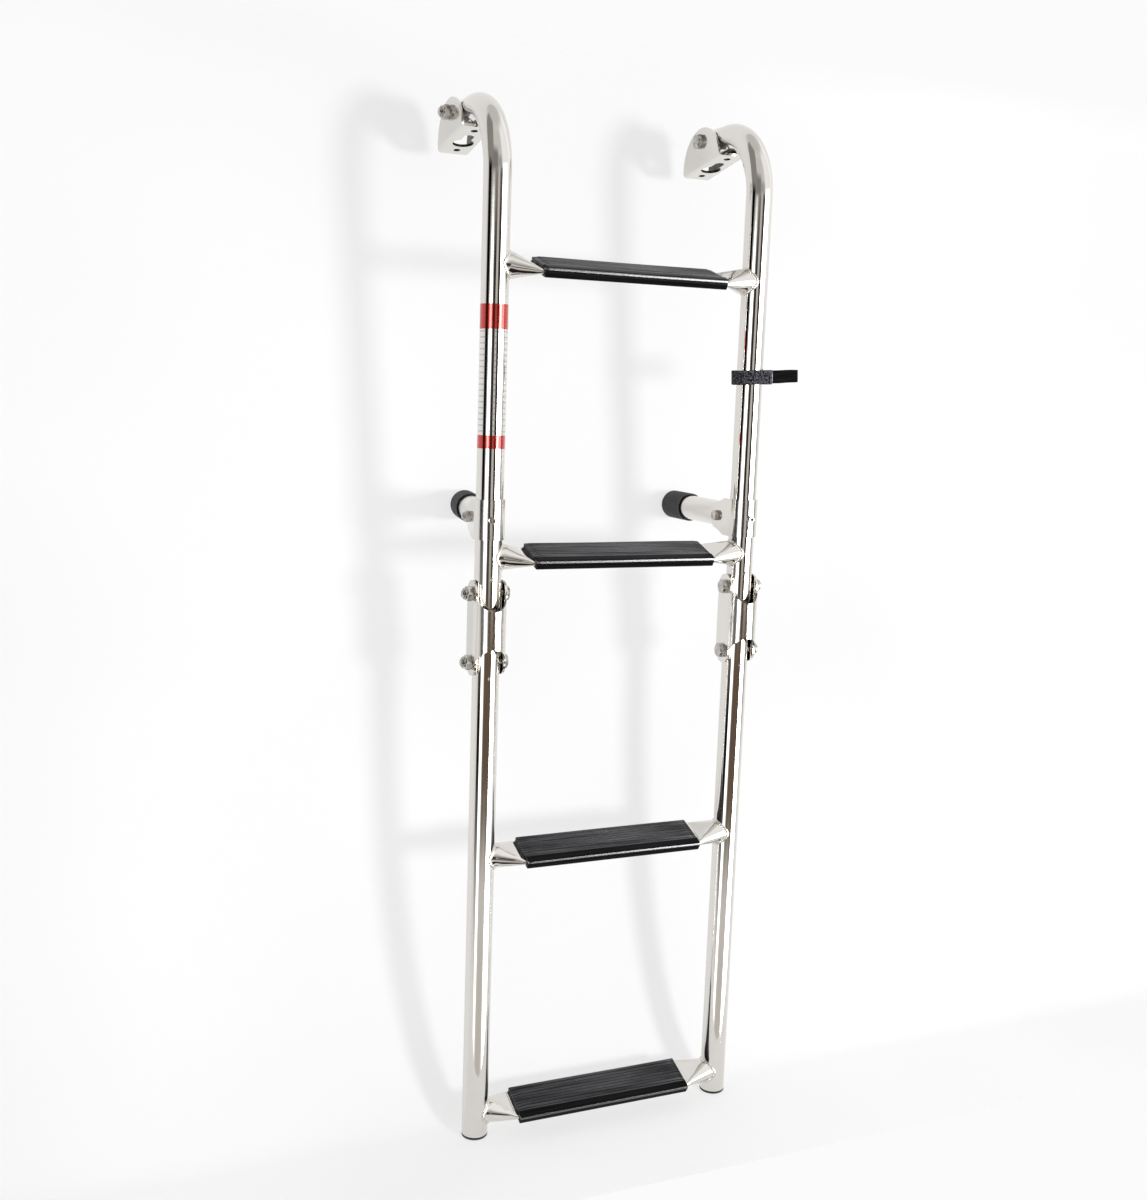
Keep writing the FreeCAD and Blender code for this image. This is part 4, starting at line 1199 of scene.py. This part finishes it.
class LADDER_OT_standoffs(bpy.types.Operator):
    """Make the standoffs' arm tubes and their ringed rubber caps"""

    bl_idname = "ladder.standoffs"
    bl_label = "Standoffs"

    def execute(self, context):
        sizes = context.scene.ladder_sizes
        colours = context.scene.ladder_colours
        steel = shared_material("belt_satin_304_tube", colours)
        rubber = shared_material("moulded_epdm_rubber", colours)
        for side in SIDES:
            face, direction = cap_mount(side)
            _, radius = rail_of(side)
            self.make_arm(side, face, direction, radius, sizes, steel)
            self.make_cap(side, face, direction, radius, sizes, rubber)
        return {"FINISHED"}

    def make_arm(self, side, face, direction, radius, sizes, steel):
        """Straight tube from the clamp to 5 mm short of the cap's face."""
        length, short, from_end = 131.5, 5.0, 6
        start = face - direction * (short + length)
        stations = np.linspace(from_end, length - from_end, 8).tolist()
        outline = tube_outline(
            length, radius, radius - sizes.tube_wall / MM, sizes.tube_rim / MM, stations)
        skin = lathe(Skin(), outline, straight(start, direction, (0, 0, 1)), closed=True)
        skin.make(f"{side}_arm_tube", f"{side}_standoff", "polished_stainless", [steel],
                  [f"{side}_standoff_arm"])

    def make_cap(self, side, face, direction, radius, sizes, rubber):
        """Blind rubber cap: a plain curled mouth, then fine rings, then a rounded, dished end."""
        length, floor, thick = 41.0, 5.0, 2.0
        bore = radius + 0.05
        outer = radius + thick
        pitch = sizes.cap_ring / MM
        deep = 0.16
        rings = []
        for spot in np.arange(3.4, length - 3.5, pitch):
            rings += [
                [spot, outer - deep], [spot + 0.3 * pitch, outer], [spot + 0.7 * pitch, outer]]
        outline = (
            [[length - floor, 0], [length - floor, bore], [2.2, bore], [0.9, radius + 0.75]]
            + arc((0.8, outer - 0.6), 0.6, 200, 90) + [[2.6, outer], [3.0, outer - deep]] + rings
            + arc((length - thick, outer - thick), thick, 90, 0, 7)
            + [[length, outer - 3.4], [length - 0.6, outer - 4.4], [length - 0.6, 0]])
        start = face - direction * length
        skin = lathe(Skin(), outline, straight(start, direction, (0, 0, 1)))
        skin.make(f"{side}_ringed_cap", f"{side}_standoff", "black_rubber", [rubber],
                  [f"{side}_standoff_cap"], smooth=math.radians(60))


class LADDER_OT_foot_plugs(bpy.types.Operator):
    """Make the plastic plugs in the rails' feet"""

    bl_idname = "ladder.foot_plugs"
    bl_label = "Foot Plugs"

    def execute(self, context):
        plastic = shared_material("moulded_black_polyethylene", context.scene.ladder_colours)
        for side in SIDES:
            low, high = node_box(f"{side}_foot_plug")
            axis, radius = rail_of(side)
            length = high[2] - low[2]
            flange, edge, corner = 2.5, 0.9, 0.2
            stem = radius - 1.65
            outline = (
                [[0.5, 0], [0.5, radius * 0.55], [0, radius * 0.62]]
                + arc((edge, radius - edge), edge, 180, 90)
                + [[flange - corner, radius], [flange, radius - corner], [flange, stem],
                   [length, stem - 0.6], [length, 0]])
            path = straight((axis[0], axis[1], low[2]), (0, 0, 1), (1, 0, 0))
            skin = lathe(Skin(), outline, path)
            skin.make(f"{side}_moulded_plug", "lower_frame", "black_plug_plastic", [plastic],
                      [f"{side}_foot_plug"])
        return {"FINISHED"}


class LADDER_OT_strap(bpy.types.Operator):
    """Make the retaining strap, one tape that starts and ends in front of the right rail"""

    bl_idname = "ladder.strap"
    bl_label = "Retaining Strap"

    def execute(self, context):
        sizes = context.scene.ladder_sizes
        colours = context.scene.ladder_colours
        tapes = [
            loop_tape(colours), shared_material("nylon_hook_tape", colours),
            shared_material("sealed_nylon_edge", colours)]
        set_back, set_low, slack = 1.1, 1.2, 1.4
        far, reach = 8.0, 44.0
        low, high = node_box("retaining_strap")
        axis, radius = rail_of("right")
        centre = axis + (0, set_back, (low[2] + high[2]) / 2 - set_low)
        thick = sizes.strap_tape / MM
        line, normal = self.route(radius + slack, far, reach, thick)
        self.make_tape(centre, line, normal, sizes.strap_width / MM, thick, reach, tapes)
        return {"FINISHED"}

    def route(self, near, far, reach, thick):
        """Centre line of the tape in the strap's own plane, and the way out from the loop.

        It is the outline of two rounds of different size with their common tangents. It starts
        in front at the loose end, goes round the rail, behind it to the far end and back to the
        front, and its distance from the loop falls evenly by one thickness on the way.
        """
        near_steps, far_steps, loose_end = 60, 40, 18.0
        lean = math.asin((near - far) / reach)
        angle = np.concatenate([
            np.linspace(-math.pi / 2 + lean, -3 * math.pi / 2 - lean, near_steps),
            np.linspace(math.pi / 2 - lean, -math.pi / 2 + lean, far_steps)])
        shift = np.repeat([0.0, reach], [near_steps, far_steps])
        size = np.repeat([near, far], [near_steps, far_steps])
        way = np.stack([np.cos(angle), np.sin(angle)], -1)
        corner = size[:, None] * way + np.stack([shift, np.zeros_like(shift)], -1)
        first, last = corner[0], corner[-1]
        begin = np.array([loose_end, first[1] + (loose_end - first[0]) * math.tan(lean)])
        lead = np.linspace(0, 1, 12)[:-1, None]
        head = begin * (1 - lead) + first * lead
        behind = np.linspace(0, 1, 14)[1:-1, None]
        back = corner[near_steps - 1] * (1 - behind) + corner[near_steps] * behind
        under = np.linspace(0, 1, 20)[1:, None]
        end = last * (1 - under) + first * under
        line = np.concatenate([head, corner[:near_steps], back, corner[near_steps:], end])
        front_way = np.array([math.sin(lean), -math.cos(lean)])
        back_way = np.array([math.sin(lean), math.cos(lean)])
        normal = np.concatenate([
            np.repeat(front_way[None], len(head), 0), way[:near_steps],
            np.repeat(back_way[None], len(back), 0), way[near_steps:],
            np.repeat(front_way[None], len(end), 0)])
        run = run_along(line)
        drop = np.interp(run / run[-1], [0, 0.35, 0.75, 1], [1.55, 1.5, 0.55, 0.5])
        return line + normal * (drop * thick)[:, None], normal

    def make_tape(self, centre, line, normal, width, thick, reach, tapes):
        """Carry a rounded rectangle along the route, with a slight wave in its edges and face.

        The loose end in front and the turn round the rail are loop tape, the far loop hook tape,
        and the first millimetre is sealed. The tape is a little broader in front, and its far
        loop sags.
        """
        tilt, sag = math.radians(3.4), 0.35
        sealed, hooks_from = 1.0, 0.42
        loop_tape, hook_tape, sealed_end = range(3)
        run = run_along(line)
        edge = thick * 0.35
        half_w, half_t = width / 2, thick / 2
        outline = np.array(
            arc((half_w - edge, half_t - edge), edge, 90, 0, 4)
            + arc((half_w - edge, -half_t + edge), edge, 0, -90, 4)
            + [[spot, -half_t] for spot in np.linspace(half_w, -half_w, 16)[1:-1]]
            + arc((-half_w + edge, -half_t + edge), edge, 270, 180, 4)
            + arc((-half_w + edge, half_t - edge), edge, 180, 90, 4)
            + [[spot, half_t] for spot in np.linspace(-half_w, half_w, 16)[1:-1]])
        grow = np.ones(len(line))
        grow[0] = grow[-1] = 0.0
        nap = 0.07 * np.sin(run[:, None] * 2.9 + outline[None, :, 0] * 3.7)
        nap = nap + 0.05 * np.sin(run[:, None] * 5.3 - outline[None, :, 0] * 4.9 + 1)
        broad = np.interp(run / run[-1], [0.3, 0.5], [1.06, 0.93]) + 0.012 * np.sin(run / 3.1)
        across = outline[None, :, 0] * broad[:, None] * (0.5 + 0.5 * grow[:, None])
        out = (outline[None, :, 1] + nap * np.sign(outline[None, :, 1]) * 0.5) * grow[:, None]
        flat_x = line[:, None, 0] + normal[:, None, 0] * out
        flat_y = line[:, None, 1] + normal[:, None, 1] * out
        low = sag * np.sin(np.clip(line[:, 0] / reach, 0, 1) * math.pi)[:, None]
        points = np.stack([
            flat_x * math.cos(tilt) - (across - low) * math.sin(tilt), flat_y,
            flat_x * math.sin(tilt) + (across - low) * math.cos(tilt)], -1) + centre
        closed = np.concatenate([
            points[:1].mean(axis=1, keepdims=True).repeat(points.shape[1], 1), points,
            points[-1:].mean(axis=1, keepdims=True).repeat(points.shape[1], 1)])
        along = np.concatenate([[0], run, [run[-1], run[-1]]])
        rim = run_along(outline)
        middle = (along[:-1] + along[1:]) / 2
        kinds = np.where(middle > run[-1] * hooks_from, hook_tape, loop_tape)
        kinds[middle < sealed] = sealed_end
        skin = Skin().grid(
            closed, across=np.append(rim, rim[-1] + 1), along=along,
            ink=np.repeat(kinds[:-1], len(rim)))
        skin.make("strap_tape", "upper_frame", "black_webbing", tapes, ["retaining_strap"],
                  smooth=math.radians(60))


class LADDER_OT_label(bpy.types.Operator):
    """Wrap the printed film round the left rail"""

    bl_idname = "ladder.label"
    bl_label = "Rail Label"

    def execute(self, context):
        columns, rows_between = 110, 24
        overlap, thick, gap, climb = 0.25, 0.08, 0.04, 0.09
        low, high = node_box("left_rail_label")
        axis, radius = rail_of("left")
        length = high[2] - low[2]
        ink = label_film(context.scene.ladder_colours, length)
        angle = np.linspace(0, 2 * math.pi + overlap, columns) + math.pi / 2
        inner = radius + gap + climb * np.linspace(0, 1, columns)
        height = np.concatenate([
            [0.0, 0.0], np.linspace(0.3, length - 0.3, rows_between), [length, length]])
        lift = np.concatenate([[0.0, 1.0], np.ones(rows_between), [1.0, 0.0]])
        faces = []
        for share in (lift, np.zeros_like(lift)):
            reach = inner[None, :] + thick * share[:, None]
            faces.append(np.stack([
                axis[0] + reach * np.cos(angle), axis[1] + reach * np.sin(angle),
                np.repeat((low[2] + height)[:, None], columns, 1)], -1))
        points = np.concatenate([faces[0], faces[1][::-1]])
        across = np.append(angle, angle[-1]) * radius
        along = np.concatenate([height, height[::-1], height[:1]])
        skin = Skin().grid(
            self.closed_ends(points), row_loop=True, column_loop=False,
            across=np.concatenate([across[:1], across, across[-1:]]), along=along)
        skin.make("printed_label", "upper_frame", "label_film", [ink], ["left_rail_label"])
        return {"FINISHED"}

    def closed_ends(self, points):
        """Close both ends of the film by a column where its outer and inner face meet."""
        half = len(points) // 2
        sides = []
        for column in (0, -1):
            edge = points[:, column]
            middle = (edge[:half] + edge[half:][::-1]) / 2
            sides.append(np.concatenate([middle, middle[::-1]])[:, None])
        return np.concatenate([sides[0], points, sides[1]], axis=1)


# Stage


def studio_world(tree):
    """What mirrors see: a room with soft boxes, a window, a flag and the dark round the camera.

    A panel is a stretch of directions, given by its middle and half width in degrees round the
    object from straight in front, by the lowest and highest elevation that it reaches, by its
    colour and strength, and by how softly its sides and its ends fade.
    """
    panels = (
        ("right wall", 76, 12, -14, 4, "#BAB8B6", 1.0, 4.0, 2.0),
        ("upper front", -42, 62, 24, 62, "#DBD9D7", 1.0, 12.0, 9.0),
        ("upper left", -55, 41, 6, 33, "#8A8785", 1.0, 6.0, 7.0),
        ("upper middle", 2, 19, 6, 26, "#B0ADAB", 1.0, 6.0, 6.0),
        ("upper right", 42, 24, 8, 62, "#FFFFFF", 1.1, 8.0, 8.0),
        ("right side", 112, 42, 2, 58, "#FFFFFF", 1.2, 10.0, 8.0),
        ("left soft box", -47, 8.5, -27, 6, "#FFFFFF", 3.0, 1.5, 4.0),
        ("left window", -47, 7.5, -9, 5, "#FFFFFF", 9.0, 1.5, 2.0),
        ("right soft box", 46.5, 19.5, -30, 12, "#FFFFFF", 5.0, 2.0, 5.0),
        ("right floor card", 58, 17, -78, -30, "#E8E6E3", 1.0, 5.0, 4.0),
        ("dark floor", 14, 26, -84, -38, "#242220", 1.0, 6.0, 5.0),
        ("strip light", 33, 8, -25, 5, "#FFFFFF", 20.0, 3.0, 3.0),
        ("flag", -79, 13, -9, 26, "#050505", 1.0, 3.0, 5.0),
        ("flag foot", -71, 12.5, -21, -9, "#0A0A0A", 1.0, 3.0, 5.0),
        ("grey above the flag", -80, 26, 16, 68, "#96938F", 1.0, 5.0, 6.0),
        ("left of the camera", -21, 9.5, -19, 8, "#2E2A27", 1.0, 2.0, 3.0),
        ("camera side", -4.0, 6, -9, 12, "#D2CDC8", 1.0, 2.0, 2.0),
        ("camera and stand", 14.5, 10, -19, 10, "#3E3935", 1.0, 2.5, 3.0),
        ("lower room", 1, 31, -20, -8.5, "#6B5A4B", 1.0, 2.5, 3.0),
        ("low front", -8, 24, -36, -21, "#D2CDC8", 1.0, 8.0, 4.0),
    )
    place = add(tree, "ShaderNodeTexCoord")
    parts = add(tree, "ShaderNodeSeparateXYZ", {0: place.outputs["Generated"]})
    x, y, z = parts.outputs
    degrees = 180 / math.pi
    forward = add(tree, "ShaderNodeMath", {0: y, 1: -1.0}, operation="MULTIPLY")
    azimuth = add(tree, "ShaderNodeMath", {0: x, 1: forward.outputs[0]}, operation="ARCTAN2")
    round_degrees = add(tree, "ShaderNodeMath", {
        0: azimuth.outputs[0], 1: degrees}, operation="MULTIPLY")
    height = add(tree, "ShaderNodeMath", {0: z}, operation="ARCSINE")
    up_degrees = add(tree, "ShaderNodeMath", {
        0: height.outputs[0], 1: degrees}, operation="MULTIPLY")
    overhead = add(tree, "ShaderNodeMapRange", {
        "Value": up_degrees.outputs[0], "From Min": 50.0, "From Max": 75.0})
    colour = add(tree, "ShaderNodeMix", {
        0: overhead.outputs[0], 6: "#F2F1F0", 7: "#D4D2D0"}, data_type="RGBA").outputs[2]
    for name, middle, half, low, high, code, strength, side_fade, end_fade in panels:
        masks = []
        for source, centre, reach, fade in (
                (round_degrees.outputs[0], middle, half, side_fade),
                (up_degrees.outputs[0], (low + high) / 2, (high - low) / 2, end_fade)):
            off = add(tree, "ShaderNodeMath", {0: source, 1: centre}, operation="SUBTRACT")
            size = add(tree, "ShaderNodeMath", {0: off.outputs[0]}, operation="ABSOLUTE")
            masks.append(add(tree, "ShaderNodeMapRange", {
                "Value": size.outputs[0], "From Min": reach - fade, "From Max": reach + fade,
                "To Min": 1.0, "To Max": 0.0}, interpolation_type="SMOOTHSTEP"))
        mask = add(tree, "ShaderNodeMath", {
            0: masks[0].outputs[0], 1: masks[1].outputs[0]}, operation="MULTIPLY", label=name)
        bright = tuple(channel * strength for channel in linear(code))
        colour = add(tree, "ShaderNodeMix", {
            0: mask.outputs[0], 6: colour, 7: bright}, data_type="RGBA").outputs[2]
    return colour


def sweep_profile(foot):
    """Side view of the backdrop: floor, elliptic bend close behind the feet, leaning wall.

    On the bend Y falls with the cosine of an angle and Z with its sine. The wall's points are
    given by how far they lie behind the bend's end and above it.
    """
    behind, across, rise = 12.0, 117.0, 435.0
    floor_front, floor_middle = 135.0, 60.0
    wall = np.array([[24.0, 175.0], [51.0, 470.0], [130.0, 1400.0]])
    centre = np.array([foot[1] + behind, foot[2] + rise])
    turn = np.linspace(math.pi / 2, 0, 40)
    bend = np.stack([centre[0] + across * np.cos(turn), centre[1] - rise * np.sin(turn)], -1)
    floor = np.array([[foot[1] - floor_front, foot[2]], [foot[1] - floor_middle, foot[2]]])
    return np.concatenate([floor, bend, wall + (bend[-1][0], centre[1])])


class LADDER_OT_stage(bpy.types.Operator):
    """Set up the pale wall and floor, the studio light and the camera"""

    bl_idname = "ladder.stage"
    bl_label = "Stage"

    def execute(self, context):
        scene = context.scene
        scene.view_settings.view_transform = "Standard"
        self.make_world(scene)
        self.make_backdrop()
        self.make_lights(scene)
        self.make_camera(scene)
        return {"FINISHED"}

    def make_world(self, scene):
        """White to the camera, the studio to mirrors, plain pale light to all else."""
        world = bpy.data.worlds.new("studio")
        scene.world = world
        world.use_nodes = True
        tree = world.node_tree
        tree.nodes.clear()
        rays = add(tree, "ShaderNodeLightPath")
        plain = add(tree, "ShaderNodeBackground", {"Color": "#FFFFFF", "Strength": 0.62})
        studio = add(tree, "ShaderNodeBackground", {"Color": studio_world(tree), "Strength": 1.0})
        white = add(tree, "ShaderNodeBackground", {"Color": "#FBFBFB", "Strength": 1.0})
        shiny = add(tree, "ShaderNodeMixShader", {
            0: rays.outputs["Is Glossy Ray"], 1: plain.outputs[0], 2: studio.outputs[0]})
        seen = add(tree, "ShaderNodeMixShader", {
            0: rays.outputs["Is Camera Ray"], 1: shiny.outputs[0], 2: white.outputs[0]})
        add(tree, "ShaderNodeOutputWorld", {"Surface": seen.outputs[0]})

    def backdrop_material(self, name, shade, lift):
        """Matt paint that keeps shadows, lifted towards white, and clear from behind.

        To the camera it fades out above the brackets, so that it doesn't hide a ladder that is
        swung up.
        """
        fade_from, fade_to = 100 * MM, 150 * MM
        material, tree = new_material(name)
        mottle = add(tree, "ShaderNodeTexNoise", {
            "Vector": place_of(tree, 400), "Scale": 1.0, "Detail": 1.0})
        pale = laid_out(tree, {"mottle": mottle.outputs[0]}, [("mottle", 0.0, 1.0)])
        tint = add(tree, "ShaderNodeMix", {
            0: pale, 6: shade, 7: "#FBFBFB"}, data_type="RGBA").outputs[2]
        paint = add(tree, "ShaderNodeBsdfDiffuse", {"Color": tint})
        glow = add(tree, "ShaderNodeEmission", {"Color": tint, "Strength": 1.0})
        rays = add(tree, "ShaderNodeLightPath")
        seen = add(tree, "ShaderNodeMath", {
            0: rays.outputs["Is Camera Ray"],
            1: rays.outputs["Is Glossy Ray"]}, operation="MAXIMUM")
        share = add(tree, "ShaderNodeMath", {0: seen.outputs[0], 1: lift}, operation="MULTIPLY")
        lit = add(tree, "ShaderNodeMixShader", {
            0: share.outputs[0], 1: paint.outputs[0], 2: glow.outputs[0]})
        clear = add(tree, "ShaderNodeBsdfTransparent")
        facing = add(tree, "ShaderNodeNewGeometry")
        place = add(tree, "ShaderNodeTexCoord")
        height = add(tree, "ShaderNodeSeparateXYZ", {0: place.outputs["Object"]})
        over_brackets = add(tree, "ShaderNodeMapRange", {
            "Value": height.outputs["Z"], "From Min": fade_from, "From Max": fade_to})
        faded = add(tree, "ShaderNodeMath", {
            0: over_brackets.outputs[0], 1: rays.outputs["Is Camera Ray"]}, operation="MULTIPLY")
        unseen = add(tree, "ShaderNodeMath", {
            0: faded.outputs[0], 1: facing.outputs["Backfacing"]}, operation="MAXIMUM")
        both = add(tree, "ShaderNodeMixShader", {
            0: unseen.outputs[0], 1: lit.outputs[0], 2: clear.outputs[0]})
        add(tree, "ShaderNodeOutputMaterial", {"Surface": both.outputs[0]})
        return material

    def make_backdrop(self):
        """White sweep that the feet stand on and the caps rest on, a bit wider than the view."""
        ends = np.array([-800.0, 1500.0])
        low, _ = node_box("right_foot_plug")
        foot = np.array([0.0, rail_of("left")[0][1], low[2] - 0.1])
        profile = sweep_profile(foot)
        count = len(profile)
        points = np.stack([np.tile(ends, count), *profile.repeat(2, 0).T], -1)
        mesh = bpy.data.meshes.new("sweep")
        row = np.arange(count - 1)
        faces = np.stack([2 * row, 2 * row + 1, 2 * row + 3, 2 * row + 2], -1)
        mesh.from_pydata((points * MM).tolist(), [], faces.tolist())
        mesh.shade_smooth()
        mesh.materials.append(self.backdrop_material("matt_white_sweep", "#F4F4F4", 0.72))
        sweep = bpy.data.objects.new("sweep", mesh)
        bpy.context.scene.collection.objects.link(sweep)

    def make_lights(self, scene):
        """One soft lamp from the right at mid height: soft shadows to the left on the sweep."""
        lamp = bpy.data.lights.new("key", "AREA")
        lamp.shape = "DISK"
        lamp.size = 0.4
        lamp.energy = 40.0
        key = bpy.data.objects.new("key", lamp)
        target = Vector((0.13, -0.09, -0.4))
        key.location = (1.05, -2.25, -0.3)
        key.rotation_mode = "QUATERNION"
        key.rotation_quaternion = (target - key.location).to_track_quat("-Z", "Y")
        key.visible_glossy = False
        scene.collection.objects.link(key)

    def make_camera(self, scene):
        """Camera at the photograph's viewing angle: turned right, tipped down, a little rolled."""
        yaw, pitch, roll = (math.radians(angle) for angle in (22.933, 8.97, 1.969))
        forward = Vector((
            math.sin(yaw) * math.cos(pitch), math.cos(yaw) * math.cos(pitch), -math.sin(pitch)))
        level = Vector((math.cos(yaw), -math.sin(yaw), 0))
        above = level.cross(forward)
        right = math.cos(roll) * level + math.sin(roll) * above
        up = -math.sin(roll) * level + math.cos(roll) * above
        data = bpy.data.cameras.new("camera")
        data.sensor_width = 36.0
        data.lens = 39.914
        data.clip_start = 0.05
        camera = bpy.data.objects.new("camera", data)
        turn = Matrix((right, up, -forward)).transposed().to_4x4()
        camera.matrix_world = Matrix.Translation(Vector((-0.39987, -1.24333, -0.22744))) @ turn
        scene.collection.objects.link(camera)
        scene.camera = camera


class LADDER_PT_panel(bpy.types.Panel):
    """Lists the ladder's pieces in the sidebar"""

    bl_idname = "LADDER_PT_panel"
    bl_label = "Boat Swim Ladder"
    bl_space_type = "VIEW_3D"
    bl_region_type = "UI"
    bl_category = "Ladder"

    def draw(self, context):
        for operator in OPERATORS:
            self.layout.operator(operator.bl_idname)
        for group in (context.scene.ladder_sizes, context.scene.ladder_colours):
            for name in group.bl_rna.properties.keys():
                if name not in ("rna_type", "name"):
                    self.layout.prop(group, name)


OPERATORS = (
    LADDER_OT_rails,
    LADDER_OT_steps,
    LADDER_OT_welds,
    LADDER_OT_treads,
    LADDER_OT_sheet_metal,
    LADDER_OT_bolts,
    LADDER_OT_standoffs,
    LADDER_OT_foot_plugs,
    LADDER_OT_strap,
    LADDER_OT_label,
    LADDER_OT_stage,
)
CLASSES = (LadderSizes, LadderColours, *OPERATORS, LADDER_PT_panel)


def register():
    """Register the classes and hang the settings on the scene."""
    for item in CLASSES:
        bpy.utils.register_class(item)
    bpy.types.Scene.ladder_sizes = PointerProperty(type=LadderSizes)
    bpy.types.Scene.ladder_colours = PointerProperty(type=LadderColours)


def unregister():
    """Take the settings and the classes away again."""
    del bpy.types.Scene.ladder_sizes
    del bpy.types.Scene.ladder_colours
    for item in reversed(CLASSES):
        bpy.utils.unregister_class(item)


def main():
    """Build every piece in order."""
    register()
    for operator in OPERATORS:
        group, name = operator.bl_idname.split(".")
        getattr(getattr(bpy.ops, group), name)()


if __name__ == "__main__":
    main()
